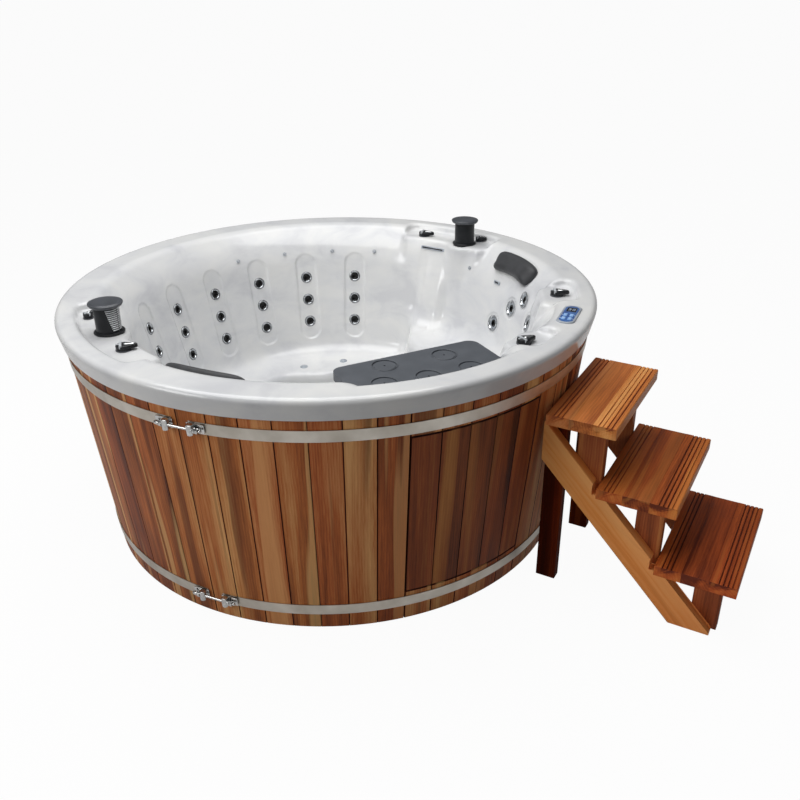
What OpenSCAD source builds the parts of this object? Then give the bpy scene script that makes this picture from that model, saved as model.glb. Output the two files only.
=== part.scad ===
// Round hot tub: moulded shell with jets, pop-up speakers and valves, in a coopered cedar
// skirt held by two steel hoops, with a free-standing set of three cedar steps.
// The origin is on the floor under the centre of the tub, and +Z is up.
// Azimuths are degrees counter-clockwise from +X, seen from above.

/* [Tub] */
// Diameter across the rim
rim_d = 2000; // [1900:10:2200]
// Height of the rim above the floor
tub_h = 905; // [895:5:960]
// Thickness of the moulded shell
shell_t = 8; // [6:1:9]
// Height of the rim's turned-down edge
fascia_h = 72; // [60:1:85]
// How far the turned-down edge leans in at its foot
fascia_lean = 14; // [6:1:20]
// Outer corner radius of the rim
rim_round = 14; // [9:1:20]
// Radius of the rim's inner edge
lip_r = 870; // [865:1:885]
// Height where the wall starts to flare towards the rim
flare_z = 812; // [808:1:820]

/* [Inside] */
// Radius of the bath's wall at wall_ref_z
wall_ref_r = 724; // [715:1:730]
// Height at which wall_ref_r is measured
wall_ref_z = 600; // [590:1:610]
// Growth of the wall's radius per millimetre of height
wall_k = 0.262; // [0.25:0.002:0.27]
// Height of the bench
bench_z = 350; // [340:1:365]
// Height of the footwell's floor
foot_z = 100; // [90:1:120]
// Radius of the footwell
foot_r = 430; // [415:1:440]
// Footwell centre, left and front of the tub's axis
foot_off = 50; // [40:1:55]
// Height of the raised seat
seat_z = 500; // [480:5:520]
// Distance of the raised seat's front edge from the axis
seat_front = 440; // [435:1:470]
// Azimuth of the raised seat's middle
seat_az = 18; // [15:1:20]
// Half of the angle that the raised seat spans
seat_half = 38; // [34:1:40]

/* [Consoles] */
// Drop from the rim to the console decks
deck_drop = 28; // [24:1:32]
// Outer radius of the console decks
deck_r = 925; // [922:1:928]

/* [Skirt] */
// Number of staves round the tub
stave_n = 60; // [60:5:60]
// Thickness of a stave
stave_t = 22; // [18:1:24]
// Outer radius of the staves at the floor
stave_foot_r = 897; // [890:1:905]
// Gap between the staves and the rim's turned-down edge
fascia_gap = 1.5; // [1:0.5:3]
// Gap between two staves
seam_w = 1.2; // [0.8:0.1:1.6]
// Side of the square that cuts the groove along each seam
seam_groove = 4; // [2.5:0.5:5]
// Azimuth of the access panel's left edge
panel_az = 282.9; // [282:0.1:284]
// Staves in the access panel
panel_n = 5; // [5:1:5]
// Height of the access panel's lower edge
panel_z0 = 128; // [118:1:140]
// Height of the access panel's upper edge
panel_z1 = 742; // [725:1:745]
// Gap above and below the access panel
panel_gap = 2.5; // [1.5:0.5:4]
// Clearance of the skirt's lower end from the floor
skirt_lift = 4; // [2:1:8]

/* [Hoops] */
// Width of a hoop
hoop_w = 40; // [36:1:42]
// Thickness of a hoop
hoop_t = 3; // [2:0.5:4]
// Height of the lower hoop's middle
low_hoop_z = 86; // [80:1:92]
// Height of the upper hoop's middle
top_hoop_z = 776; // [770:1:782]
// Azimuth of the middle of the hoops' draw bolts
draw_az = 241.6; // [240:0.1:243]
// Length of bare skirt between the two ends of a hoop
draw_gap = 62; // [50:1:80]
// Diameter of a draw bolt
bolt_d = 10; // [8:1:12]
// Diameter of a hoop lug
lug_d = 22; // [20:1:26]

/* [Jets] */
// Diameter of a small jet's face
jet_d = 48; // [44:1:52]
// Diameter of a seat jet's face
seat_jet_d = 68; // [62:1:72]
// Width of a jet groove
groove_w = 91; // [80:1:96]
// Depth of a jet groove
groove_d = 6; // [3:1:8]
// Height of the jet grooves' lower end
groove_z0 = 410; // [400:1:420]
// Height of the jet grooves' upper end
groove_z1 = 790; // [780:1:795]
// Azimuth of the first jet column
column_az = 81.3; // [80:0.1:82]
// Angle between jet columns
column_step = 17.3; // [17:0.1:17.5]
// Height of the lowest small jet
jet_z = 488; // [480:1:495]
// Rise from one small jet to the next
jet_rise = 99.5; // [95:0.5:102]

/* [Filter] */
// Azimuth of the filter cover's middle
cover_az = 292; // [291:0.5:293]
// Distance of the cover's straight edge from the axis
cover_x0 = 612; // [605:1:620]
// Radius of the cover's outer edge
cover_r = 892; // [885:1:895]
// Half of the cover's width
cover_half = 264; // [255:1:270]
// Corner radius of the cover
cover_round = 36; // [25:1:45]
// Thickness of the cover
cover_t = 20; // [14:1:24]
// Drop from the rim to the cover's top
cover_drop = 55; // [50:1:60]
// Gap round the cover
cover_gap = 3; // [2:0.5:5]
// Diameter of a cup ring
cup_d = 80; // [70:1:84]
// Outer diameter of the filter cartridge
cartridge_d = 150; // [130:1:156]
// Length of the filter cartridge
cartridge_h = 220; // [180:5:230]

/* [Speakers] */
// Diameter of a speaker's cap
cap_d = 116; // [110:1:122]
// Diameter of a speaker's tower
tower_d = 86; // [80:1:90]
// Height of the cap's top above the deck
tower_rise = 110; // [100:1:118]
// Diameter of the turning collar
collar_d = 104; // [102:1:112]

/* [Valves] */
// Length of a large knob
knob_l = 70; // [64:1:74]
// Diameter of a large knob's hub
knob_d = 48; // [42:1:50]
// Height of a knob
knob_h = 20; // [16:1:26]
// Length of a small knob
small_knob_l = 50; // [46:1:56]
// Diameter of a small knob's hub
small_knob_d = 34; // [30:1:35]

/* [Control panel] */
// Azimuth of the control panel
control_az = 333; // [332:0.5:334]
// Distance of the control panel from the axis
control_r = 918; // [916:1:922]
// Length of the control panel
control_l = 172; // [160:1:180]
// Width of the control panel
control_w = 64; // [58:1:66]

/* [Pillows] */
// Length of a head pillow along the wall
pillow_l = 300; // [260:5:320]
// Height of a head pillow along the flare
pillow_h = 96; // [80:2:100]
// Thickness of a head pillow
pillow_t = 44; // [30:1:50]

/* [Steps] */
// Azimuth that the steps face
steps_az = -33.9; // [-35:0.1:-33]
// Sideways shift of the steps
steps_shift = 34; // [25:1:40]
// Rise of each step
step_rise = 229; // [215:1:232]
// Going of each step
step_going = 218.5; // [210:0.5:225]
// Width of a tread
tread_w = 518; // [480:2:560]
// Depth of the lower two treads
tread_l = 262; // [250:1:270]
// Thickness of a tread
tread_t = 40; // [34:1:44]
// Thickness of the stringers, uprights and legs
side_t = 39; // [30:1:42]
// Overhang of a tread past the stringer
tread_over = 20; // [10:1:30]
// Height of a stringer board's section
stringer_h = 98; // [85:1:105]
// Width of an upright
upright_w = 90; // [80:1:95]
// Set-back of an upright from the tread's front edge
upright_back = 45; // [35:1:55]
// Gap between the top tread and the skirt
step_gap = 5; // [3:1:10]

/* [Plant] */
// Thickness of the base pan
pan_t = 12; // [8:1:16]
// Height of the frame rings
ring_h = 30; // [24:1:36]
// Height of the pumps' axes
pump_z = 160; // [158:1:165]

/* [Hidden] */
$fn = 64;

// Colours
acrylic = "#e9e9ec";
cedar = "#9a5a32";
honey = "#b5763f";
steel = "#b9bcc0";
black = "#26262a";
grey_plate = "#5b5f66";
pipe_white = "#dfe3e6";
plywood = "#b99568";

// Clearances
fit = 0.3;      // between curved faces of different pieces
running = 0.05; // radial play of a shaft in its bore
far = 1200;     // beyond the tub

// Derived sizes of the tub
rim_r = rim_d / 2;
wall_tilt = atan(wall_k);
deck_z = tub_h - deck_drop;
fascia_z = tub_h - fascia_h;
stave_top_r = rim_r - fascia_lean - shell_t - fascia_gap;
stave_k = (stave_top_r - stave_foot_r) / fascia_z;
stave_tilt = atan(stave_k);
stave_top_z = tub_h - shell_t - 7;
stave_pitch = 360 / stave_n;
panel_span = panel_n * stave_pitch;
panel_mid = panel_az + panel_span / 2;
cover_z = tub_h - cover_drop;
ledge_z = cover_z - cover_t - 8;
cove_h = tub_h - flare_z;

function wall_r(z) = wall_ref_r + wall_k * (z - wall_ref_z);
function flare_r(z) = wall_r(flare_z) + (lip_r - wall_r(flare_z)) * (z - flare_z) / cove_h;
function stave_r(z) = stave_foot_r + stave_k * z;
function stave_in(z) = stave_r(z) - stave_t;

// Console decks: first and last azimuth; the wall flares up to the rim between them
consoles = [[188, 227], [35, 65], [313.5, 324.5], [343.5, 357.5]];
flare_lap = 0.2;
flares = [[227, 313.5], [324.5, 343.5], [357.5, 395], [65, 188]];

// Small jets: every column has three
column_azs = [for (i = [0:5]) column_az + i * column_step];
jet_zs = [for (j = [0:2]) jet_z + j * jet_rise];
jet_stem_d = jet_d - 12;
jet_face_t = 4;
jet_rear = 80;

// Seat jets: azimuth and height
seat_jets = [[20.3, deck_z - 259], [12.3, deck_z - 160], [5.2, deck_z - 91], [355.7, deck_z - 142]];
seat_body_z = shell_t + 12;
seat_stem_d = seat_jet_d - 20;
dish_d = seat_jet_d + 22;
dish_depth = 3;

// Valves: azimuth, radius, direction of the handle, large or small
left_large = [217.0, 851, 10, true];
left_small = [193.6, 886, 60, false];
back_large = [58.4, 838, -20, true];
back_small = [41.6, 905, -20, false];
right_large = [350.6, 857, -10, true];
front_large = [316.8, 855, 26, true];
valves = [left_large, left_small, back_large, back_small, right_large, front_large];
valve_flange_t = 4;
valve_neck_d = 24;
valve_body_l = 70;
knob_stem_d = 12;
knob_stem_l = 34;
side_inset = 0.1;

// Speakers: azimuth, radius, direction that the grille faces
left_speaker = [204.6, 834, 5];
back_speaker = [43.6, 834, 80];
collar_t = 8;
cap_t = 14;
tower_travel = tower_rise - cap_t - collar_t;
tower_engaged = 28;
tower_len = tower_rise - cap_t + tower_engaged;
collar_neck_t = 3;
collar_neck_d = tower_d + 2 * collar_neck_t;
sleeve_t = 3;
sleeve_d = collar_neck_d + 2 * sleeve_t;
sleeve_h = tower_travel + tower_engaged + 6;
boss_r = sleeve_d / 2 + shell_t + 10;
boss_drop = 0.3;
grille_span = 150;
grille_t = 2;
grille_facets = 20;
slat_n = 10;

// Plumbing
water_main_z = 410;
air_main_z = 738;
main_r = 22;
air_r = 13;
rail_off = (jet_rear + 10) / cos(wall_tilt);
water_rail_r = 12;
air_rail_r = 8;
rail_side = 14;
tee_h = 34;
outlet_gap = 1;
air_tee_h = 25;
main_azs = [-115, 172];

// Pumps: azimuth seen from the footwell's centre
pump_azs = [288, 312];
pump_start = foot_r + 60;
wet_mid = pump_start + 40;
tee_r = foot_r + shell_t + 26;
suction_tee_h = 80;
wet_l = 80;
wet_r = 85;
motor_l = 180;
motor_r = 70;
outlet_h = 105;

// Frame
post_n = 9;
post_az = 318;
post_w = 56;
post_t = 22;
ring_top_z = tub_h - shell_t;
low_ring_z = pan_t;

// Filter
canister_flange_t = 5;
canister_wall = 4;
canister_d = cartridge_d + 26;
canister_h = 300;
canister_tail = 22;
canister_x = (cover_x0 + cover_r) / 2 - 8;
cartridge_lift = 24;
cartridge_top_z = cover_z - cover_t - 8 - cartridge_lift;
pod_margin = 24;
pod_lip = 12;
cups = [[676, -8.4], [691, 9.3], [800, -11.2], [803, -0.8], [817, 10]];
hole_gap = 0.5;

// Control panel
control_t = 5;
control_body_h = 30;
control_body_l = control_l - 22;
control_body_w = control_w - 36;
key_travel = 1;
key_l = 24;
key_w = 14;
key_rise = 2.2;
keys = [[-14, 11], [-14, -11], [-48, 11], [-48, -11]];

// ---------------------------------------------------------------- placing

module at(az, r, z) {
    rotate([0, 0, az])
        translate([r, 0, z])
            children();
}

// On the bath's wall: +Z runs out through the wall, -X up it
module on_wall(az, z) {
    at(az, wall_r(z), z)
        rotate([0, 90 + wall_tilt, 0])
            children();
}

// Ring sector between two azimuths from an outline in radius and height
module sector(a0, a1) {
    rotate([0, 0, a0])
        rotate_extrude(angle = a1 - a0, $fn = 180)
            children();
}

// From the footwell's centre outwards at the pumps' height
module from_footwell(az, z) {
    translate([-foot_off, -foot_off, z])
        rotate([0, 0, az])
            rotate([0, 90, 0])
                children();
}

// ---------------------------------------------------------------- shell

// Rounded rectangle with true arcs
module round_rect(x0, x1, half, r) {
    translate([x0 + r, -half])
        square([x1 - x0 - 2 * r, 2 * half]);
    translate([x0, -half + r])
        square([x1 - x0, 2 * half - 2 * r]);
    for (x = [x0 + r, x1 - r], s = [-1, 1])
        translate([x, s * (half - r)])
            circle(r);
}

// Outline of the filter cover, grown by g
module cover_outline(g) {
    intersection() {
        round_rect(cover_x0 - g, cover_r + 60, cover_half + g, cover_round + g);
        circle(cover_r + g, $fn = 180);
    }
}

// Outline of the pod that carries the cover, shrunk by g
module pod_outline(g) {
    round_rect(cover_x0 - pod_margin + g, cover_r + 60, cover_half + pod_margin - g,
               cover_round + pod_margin - g);
}

// Raised seat's outline, shrunk by g on all sides
module seat_outline(g) {
    apex = g / sin(seat_half);
    front = seat_front + g;
    end = far;
    polygon([
        [front, -(front - apex) * tan(seat_half)],
        [end, -(end - apex) * tan(seat_half)],
        [end, (end - apex) * tan(seat_half)],
        [front, (front - apex) * tan(seat_half)]
    ]);
}

// Space of the bath, grown by g and open up to top
module bath_space(g, top) {
    spread = g / lip_r * 57.3;
    difference() {
        union() {
            rotate_extrude($fn = 180)
                polygon([
                    [0, bench_z - g], [wall_r(bench_z - g) + g, bench_z - g],
                    [wall_r(top) + g, top], [0, top]
                ]);
            for (s = flares)
                sector(s[0] - spread - flare_lap, s[1] + spread + flare_lap)
                    polygon([
                        [flare_r(flare_z - 20) - 60, flare_z - 20],
                        [flare_r(flare_z - 20) + g, flare_z - 20],
                        [flare_r(top) + g, top], [flare_r(flare_z - 20) - 60, top]
                    ]);
            for (s = consoles)
                sector(s[0] - spread, s[1] + spread)
                    translate([wall_r(flare_z) - 60, deck_z - g])
                        square([deck_r + g - wall_r(flare_z) + 60, top - deck_z + g]);
            translate([-foot_off, -foot_off, foot_z - g])
                cylinder(r = foot_r + g, h = bench_z - foot_z + 1, $fn = 120);
        }
        rotate([0, 0, cover_az])
            translate([0, 0, foot_z])
                linear_extrude(ledge_z + pod_lip - g - foot_z)
                    pod_outline(g);
        rotate([0, 0, seat_az])
            linear_extrude(seat_z - g)
                seat_outline(g);
        // rounded bosses that hold the speakers' sleeves
        for (s = [left_speaker, back_speaker])
            at(s[0], s[1], foot_z)
                cylinder(r = boss_r - g, h = deck_z - boss_drop - g - foot_z);
    }
    rotate([0, 0, cover_az])
        translate([0, 0, ledge_z - g])
            linear_extrude(top - ledge_z + g)
                cover_outline(cover_gap + g);
}

module rim() {
    rotate_extrude($fn = 180)
        difference() {
            polygon([
                [wall_r(deck_z) - 5, tub_h - shell_t], [wall_r(deck_z) - 5, tub_h],
                [rim_r, tub_h], [rim_r, tub_h - rim_round], [rim_r - fascia_lean, fascia_z],
                [rim_r - fascia_lean - shell_t, fascia_z], [rim_r - shell_t, tub_h - rim_round],
                [rim_r - rim_round, tub_h - shell_t]
            ]);
            // the rounded outer corner
            difference() {
                translate([rim_r - rim_round, tub_h - rim_round])
                    square(rim_round + 1);
                translate([rim_r - rim_round, tub_h - rim_round])
                    circle(rim_round);
            }
        }
}

// Stadium along the wall, grown by g, from depth z0 to z1
module groove_block(az, g, z0, z1) {
    mid = (groove_z0 + groove_z1) / 2;
    straight = (groove_z1 - groove_z0) / cos(wall_tilt) - groove_w;
    on_wall(az, mid)
        translate([0, 0, z0])
            linear_extrude(z1 - z0) {
                square([straight, groove_w + 2 * g], center = true);
                for (s = [-1, 1])
                    translate([s * straight / 2, 0])
                        circle(groove_w / 2 + g);
            }
}

module tub_shell() {
    color(acrylic)
        difference() {
            union() {
                rim();
                bath_space(shell_t, tub_h - shell_t / 2);
                for (a = column_azs)
                    groove_block(a, shell_t, 0, groove_d + shell_t);
            }
            bath_space(0, tub_h + 1);
            for (a = column_azs) {
                groove_block(a, 0, -12, groove_d);
                for (z = jet_zs)
                    on_wall(a, z)
                        cylinder(d = jet_stem_d + 2 * hole_gap, h = 40);
            }
            for (j = seat_jets)
                on_wall(j[0], j[1]) {
                    translate([0, 0, -10])
                        cylinder(d = dish_d, h = 10 + dish_depth);
                    cylinder(d = seat_stem_d + 8 + 2 * hole_gap, h = 40);
                }
            for (v = valves)
                at(v[0], v[1], deck_z - shell_t - 1)
                    cylinder(d = valve_neck_d + 2 * hole_gap, h = shell_t + 2);
            for (s = [left_speaker, back_speaker])
                at(s[0], s[1], deck_z - shell_t - 1)
                    cylinder(d = sleeve_d + 2 * hole_gap, h = shell_t + 2);
            at(cover_az, canister_x, ledge_z - shell_t - 1)
                cylinder(d = canister_d + 2 * hole_gap, h = shell_t + 2);
            skimmer_mouth(hole_gap);
            at(control_az, control_r, tub_h - shell_t - 1)
                translate([-control_body_w / 2 - hole_gap, -control_body_l / 2 - hole_gap, 0])
                    cube([control_body_w + 2 * hole_gap, control_body_l + 2 * hole_gap,
                          shell_t + 2]);
            for (s = spouts)
                on_wall(s[0], s[1])
                    translate([-spout_body_h / 2 - hole_gap, -s[2] / 2 + 4 - hole_gap, -20])
                        cube([spout_body_h + 2 * hole_gap, s[2] - 8 + 2 * hole_gap, 60]);
            for (l = lights)
                on_wall(l[0], l[1])
                    translate([0, 0, -20])
                        cylinder(d = light_stem_d + 2 * hole_gap, h = 60);
            for (p = seat_air)
                translate([p[0], p[1], bench_z - shell_t - 1])
                    cylinder(d = air_stem_d + 2 * hole_gap, h = shell_t + 2);
            for (a = pump_azs)
                from_footwell(a, pump_z)
                    translate([0, 0, foot_r - 10])
                        cylinder(d = suction_stem_d + 2 * hole_gap, h = 30);
            translate([-foot_off, -foot_off, foot_z - shell_t - 1])
                cylinder(d = drain_stem_d + 2 * hole_gap, h = shell_t + 2);
        }
}

// ---------------------------------------------------------------- skirt

module stave_ring(z0, z1) {
    rotate_extrude($fn = 180)
        polygon([[stave_in(z0), z0], [stave_r(z0), z0], [stave_r(z1), z1], [stave_in(z1), z1]]);
}

// Cuts between the staves from the first seam to the last
module seams(first, last) {
    for (i = [first:last])
        rotate([0, 0, panel_az + i * stave_pitch]) {
            translate([stave_foot_r - 60, -seam_w / 2, -10])
                cube([200, seam_w, tub_h + 20]);
            translate([stave_foot_r, 0, 0])
                rotate([0, stave_tilt, 0])
                    rotate([0, 0, 45])
                        cube([seam_groove, seam_groove, 2 * tub_h + 40], center = true);
        }
}

module panel_sector(z0, z1) {
    sector(panel_az, panel_az + panel_span)
        translate([stave_foot_r - 60, z0])
            square([200, z1 - z0]);
}

module skirt_staves() {
    color(cedar)
        difference() {
            stave_ring(skirt_lift, stave_top_z);
            panel_sector(panel_z0 - panel_gap, panel_z1 + panel_gap);
            seams(0, stave_n - 1);
        }
}

module access_panel() {
    color(cedar)
        difference() {
            intersection() {
                stave_ring(skirt_lift, stave_top_z);
                panel_sector(panel_z0, panel_z1);
            }
            seams(0, panel_n);
        }
    // battens screwed across the back of the panel
    color(plywood)
        for (z = [panel_z0 + 90, panel_z1 - 90])
            sector(panel_az + 3, panel_az + panel_span - 3)
                polygon([
                    [stave_in(z - 35) - 18, z - 35], [stave_in(z - 35) - fit, z - 35],
                    [stave_in(z + 35) - fit, z + 35], [stave_in(z + 35) - 18, z + 35]
                ]);
}

// ---------------------------------------------------------------- hoops

draw_half = (draw_gap / 2) / stave_r(top_hoop_z) * 57.3;
lug_y = draw_gap / 2 + 13;
lug_h = 34;
bolt_x = lug_d / 2 + 2;
nut_t = 9;
nut_af = 17;

module hoop(z) {
    z0 = z - hoop_w / 2;
    z1 = z + hoop_w / 2;
    color(steel)
        sector(draw_az + draw_half, draw_az + 360 - draw_half)
            polygon([
                [stave_r(z0) + fit, z0], [stave_r(z0) + fit + hoop_t, z0],
                [stave_r(z1) + fit + hoop_t, z1], [stave_r(z1) + fit, z1]
            ]);
}

module upper_hoop() {
    hoop(top_hoop_z);
}

module lower_hoop() {
    hoop(low_hoop_z);
}

// Frame at a hoop's draw bolt: +X out of the skirt, +Y along the hoop, +Z along the staves
module at_draw(z) {
    at(draw_az, stave_r(z) + fit + hoop_t, z)
        rotate([0, stave_tilt, 0])
            children();
}

// Lug barrels stand on the hoop's ends; each has a foot that lies on the strap
module hoop_lugs() {
    color(steel)
        for (z = [low_hoop_z, top_hoop_z])
            at_draw(z)
                for (s = [-1, 1])
                    difference() {
                        union() {
                            translate([bolt_x, s * lug_y, -lug_h / 2])
                                cylinder(d = lug_d, h = lug_h);
                            translate([-0.5, s * lug_y - 8, -lug_h / 2])
                                cube([bolt_x, 16, lug_h]);
                        }
                        translate([bolt_x, 0, 0])
                            rotate([90, 0, 0])
                                cylinder(d = bolt_d + 2 * hole_gap, h = 300, center = true);
                    }
}

// Nut round the draw bolt, with its middle at y
module hex_nut(y) {
    translate([0, y + nut_t / 2, 0])
        rotate([90, 0, 0])
            difference() {
                cylinder(d = nut_af / cos(30), h = nut_t, $fn = 6);
                translate([0, 0, -1])
                    cylinder(d = bolt_d + 2 * running, h = nut_t + 2);
            }
}

module draw_bolts() {
    nut_y = lug_y + lug_d / 2 + fit + nut_t / 2;
    color(steel)
        for (z = [low_hoop_z, top_hoop_z])
            at_draw(z)
                translate([bolt_x, 0, 0]) {
                    rotate([90, 0, 0])
                        cylinder(d = bolt_d, h = 2 * nut_y + 50, center = true);
                    for (y = [-nut_y, nut_y, nut_y + nut_t + 1.5])
                        hex_nut(y);
                }
}

// ---------------------------------------------------------------- frame

module base_pan() {
    color(black)
        difference() {
            union() {
                cylinder(r = stave_in(0) - 2, h = pan_t, $fn = 180);
                rotate_extrude($fn = 180)
                    translate([foot_r + 90, pan_t])
                        square([12, 14]);
            }
            at(262, 580, -1)
                cylinder(d = conduit_d, h = pan_t + 40);
        }
}

module frame_rings() {
    color(plywood)
        for (z0 = [low_ring_z, ring_top_z - ring_h]) {
            z1 = z0 + ring_h;
            inner = z0 < bench_z ? stave_in(z0) - post_t - 20 : deck_r + shell_t + 3;
            rotate_extrude($fn = 180)
                polygon([[inner, z0], [stave_in(z0) - fit, z0], [stave_in(z1) - fit, z1],
                         [inner, z1]]);
        }
}

module frame_posts() {
    z0 = low_ring_z + ring_h;
    z1 = ring_top_z - ring_h;
    color(plywood)
        for (i = [0:post_n - 1])
            intersection() {
                rotate_extrude($fn = 180)
                    polygon([
                        [stave_in(z0) - fit - post_t, z0], [stave_in(z0) - fit, z0],
                        [stave_in(z1) - fit, z1], [stave_in(z1) - fit - post_t, z1]
                    ]);
                rotate([0, 0, post_az + i * 360 / post_n])
                    translate([stave_foot_r - 100, -post_w / 2, 0])
                        cube([300, post_w, tub_h]);
            }
}

module footwell_bearers() {
    color(honey)
        for (y = [-200, 0, 200])
            translate([-foot_off - 340, -foot_off + y - 30, pan_t])
                difference() {
                    cube([680, 60, foot_z - shell_t - pan_t]);
                    translate([340, 30 - y, -1])
                        cylinder(d = drain_stem_d + 60, h = far);
                }
}

// ---------------------------------------------------------------- jets

module small_jet() {
    difference() {
        union() {
            translate([0, 0, groove_d - jet_face_t])
                cylinder(d = jet_d, h = jet_face_t);
            translate([0, 0, groove_d])
                cylinder(d = jet_stem_d, h = 26);
        }
        translate([0, 0, groove_d - jet_face_t - 1])
            cylinder(d = jet_d * 0.42, h = 24);
        translate([0, 0, groove_d - jet_face_t - 0.01])
            cylinder(d1 = jet_d * 0.78, d2 = jet_d * 0.42, h = 6);
    }
}

module small_jets() {
    color(steel)
        for (a = column_azs, z = jet_zs)
            on_wall(a, z)
                small_jet();
}

module seat_jet(i) {
    color(steel)
        on_wall(seat_jets[i][0], seat_jets[i][1])
            difference() {
                union() {
                    translate([0, 0, dish_depth - fit - jet_face_t])
                        cylinder(d = seat_jet_d, h = jet_face_t);
                    translate([0, 0, dish_depth - fit])
                        cylinder(d = seat_stem_d, h = 34);
                }
                translate([0, 0, -6])
                    cylinder(d = 24, h = 34);
                translate([0, 0, dish_depth - fit - jet_face_t - 0.01])
                    cylinder(d1 = seat_jet_d - 14, d2 = 34, h = 8);
            }
}

module seat_jet_1() {
    seat_jet(0);
}

module seat_jet_2() {
    seat_jet(1);
}

module seat_jet_3() {
    seat_jet(2);
}

module seat_jet_4() {
    seat_jet(3);
}

// Body of a jet behind the wall, with a socket for the nozzle's stem
module jet_body(start, d, neck_d, socket_d, socket_z0, socket_z1) {
    difference() {
        union() {
            translate([0, 0, start])
                cylinder(d = d, h = jet_rear - start);
            translate([0, 0, socket_z0])
                cylinder(d = neck_d, h = start - socket_z0 + 1);
        }
        translate([0, 0, socket_z0 - 1])
            cylinder(d = socket_d, h = socket_z1 - socket_z0 + 1);
    }
}

module jet_bodies() {
    small_start = groove_d + shell_t;
    color(pipe_white) {
        for (a = column_azs, z = jet_zs)
            on_wall(a, z)
                jet_body(small_start, jet_d, jet_stem_d, jet_stem_d + 2 * fit,
                         small_start, groove_d + 30);
        for (j = seat_jets)
            on_wall(j[0], j[1])
                jet_body(seat_body_z, seat_jet_d - 4, seat_stem_d + 8, seat_stem_d + 2 * running,
                         dish_depth, dish_depth + 40);
    }
}

// ---------------------------------------------------------------- plumbing

// Pipe along the back of the jet bodies, parallel to the wall
module rail(az, side, r, z0, z1) {
    intersection() {
        rotate([0, 0, az])
            translate([wall_r(0) + rail_off, side, 0])
                rotate([0, wall_tilt, 0])
                    cylinder(r = r, h = tub_h + 100);
        translate([0, 0, z0])
            cylinder(r = far, h = z1 - z0);
        on_wall(az, wall_ref_z)
            translate([-far / 2, -100, jet_rear])
                cube([far, 200, 200]);
    }
}

module water_rails() {
    z0 = water_main_z + tee_h;
    color(pipe_white) {
        for (a = column_azs)
            rail(a, -rail_side, water_rail_r, z0, jet_zs[2] + 20);
        for (j = seat_jets)
            rail(j[0], -rail_side, water_rail_r, z0, j[1] + 20);
    }
}

module air_rails() {
    color(pipe_white)
        for (a = column_azs)
            rail(a, rail_side, air_rail_r, jet_z - 10, air_main_z - air_tee_h);
}

module ring_main(z, r, a0, a1) {
    sector(a0, a1)
        translate([wall_r(z) + rail_off, z])
            circle(r);
}

module water_main() {
    color(pipe_white) {
        ring_main(water_main_z, main_r, main_azs[0], main_azs[1]);
        for (a = concat(column_azs, [for (j = seat_jets) j[0]]))
            at(a, wall_r(water_main_z + tee_h) + rail_off, water_main_z + 6)
                translate([0, -rail_side, 0])
                    cylinder(r = water_rail_r + 3, h = tee_h - 6);
        for (a = concat(feed_azs, [heater_feed_az]))
            at(a, wall_r(water_main_z) + rail_off, water_main_z - feed_h)
                cylinder(r = hose_r + 2, h = feed_h - 6);
    }
}

module air_main() {
    color(pipe_white) {
        ring_main(air_main_z, air_r, column_az - 6, main_azs[1]);
        at(air_feed_az, wall_r(air_main_z) + rail_off, air_main_z - air_r - 10)
            cylinder(r = air_hose_r - 1, h = air_r + 10);
        for (a = column_azs)
            at(a, wall_r(air_main_z - air_tee_h) + rail_off, air_main_z - air_tee_h)
                translate([0, rail_side, 0])
                    cylinder(r = air_rail_r + 2, h = air_tee_h);
    }
}

// Where the pumps' hoses and the heater's return meet the ring main
feed_azs = [for (a = pump_azs) a - 3];
heater_feed_az = -112;
feed_h = 34;
hose_r = 17;
air_hose_r = 12;

// A hose is a ring of sides swept along a cubic curve from its first point to its last
hose_sides = 12;
hose_rings = 14;
function mix3(p, t) = p[0] * pow(1 - t, 3) + 3 * p[1] * pow(1 - t, 2) * t
    + 3 * p[2] * (1 - t) * t * t + p[3] * pow(t, 3);
function slope3(p, t) = 3 * (p[1] - p[0]) * pow(1 - t, 2)
    + 6 * (p[2] - p[1]) * (1 - t) * t + 3 * (p[3] - p[2]) * t * t;
function unit(v) = v / norm(v);

module hose(p, r, side) {
    points = [
        for (i = [0:hose_rings])
            let (t = i / hose_rings, c = mix3(p, t), d = unit(slope3(p, t)),
                 u = unit(cross(side, d)), v = cross(d, u))
                for (k = [0:hose_sides - 1])
                    c + r * (cos(k * 360 / hose_sides) * u + sin(k * 360 / hose_sides) * v)
    ];
    n = hose_sides;
    walls = [
        for (i = [0:hose_rings - 1], k = [0:n - 1])
            let (a = i * n + k, b = i * n + (k + 1) % n)
                each [[a, b + n, b], [a, a + n, b + n]]
    ];
    last = hose_rings * n;
    caps = concat([for (k = [1:n - 2]) [0, k, k + 1]],
                  [for (k = [1:n - 2]) [last, last + k + 1, last + k]]);
    polyhedron(points, concat(walls, caps));
}

function polar(az, r, z) = [r * cos(az), r * sin(az), z];
function from_foot(az, r, z) = [r * cos(az) - foot_off, r * sin(az) - foot_off, z];

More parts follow.
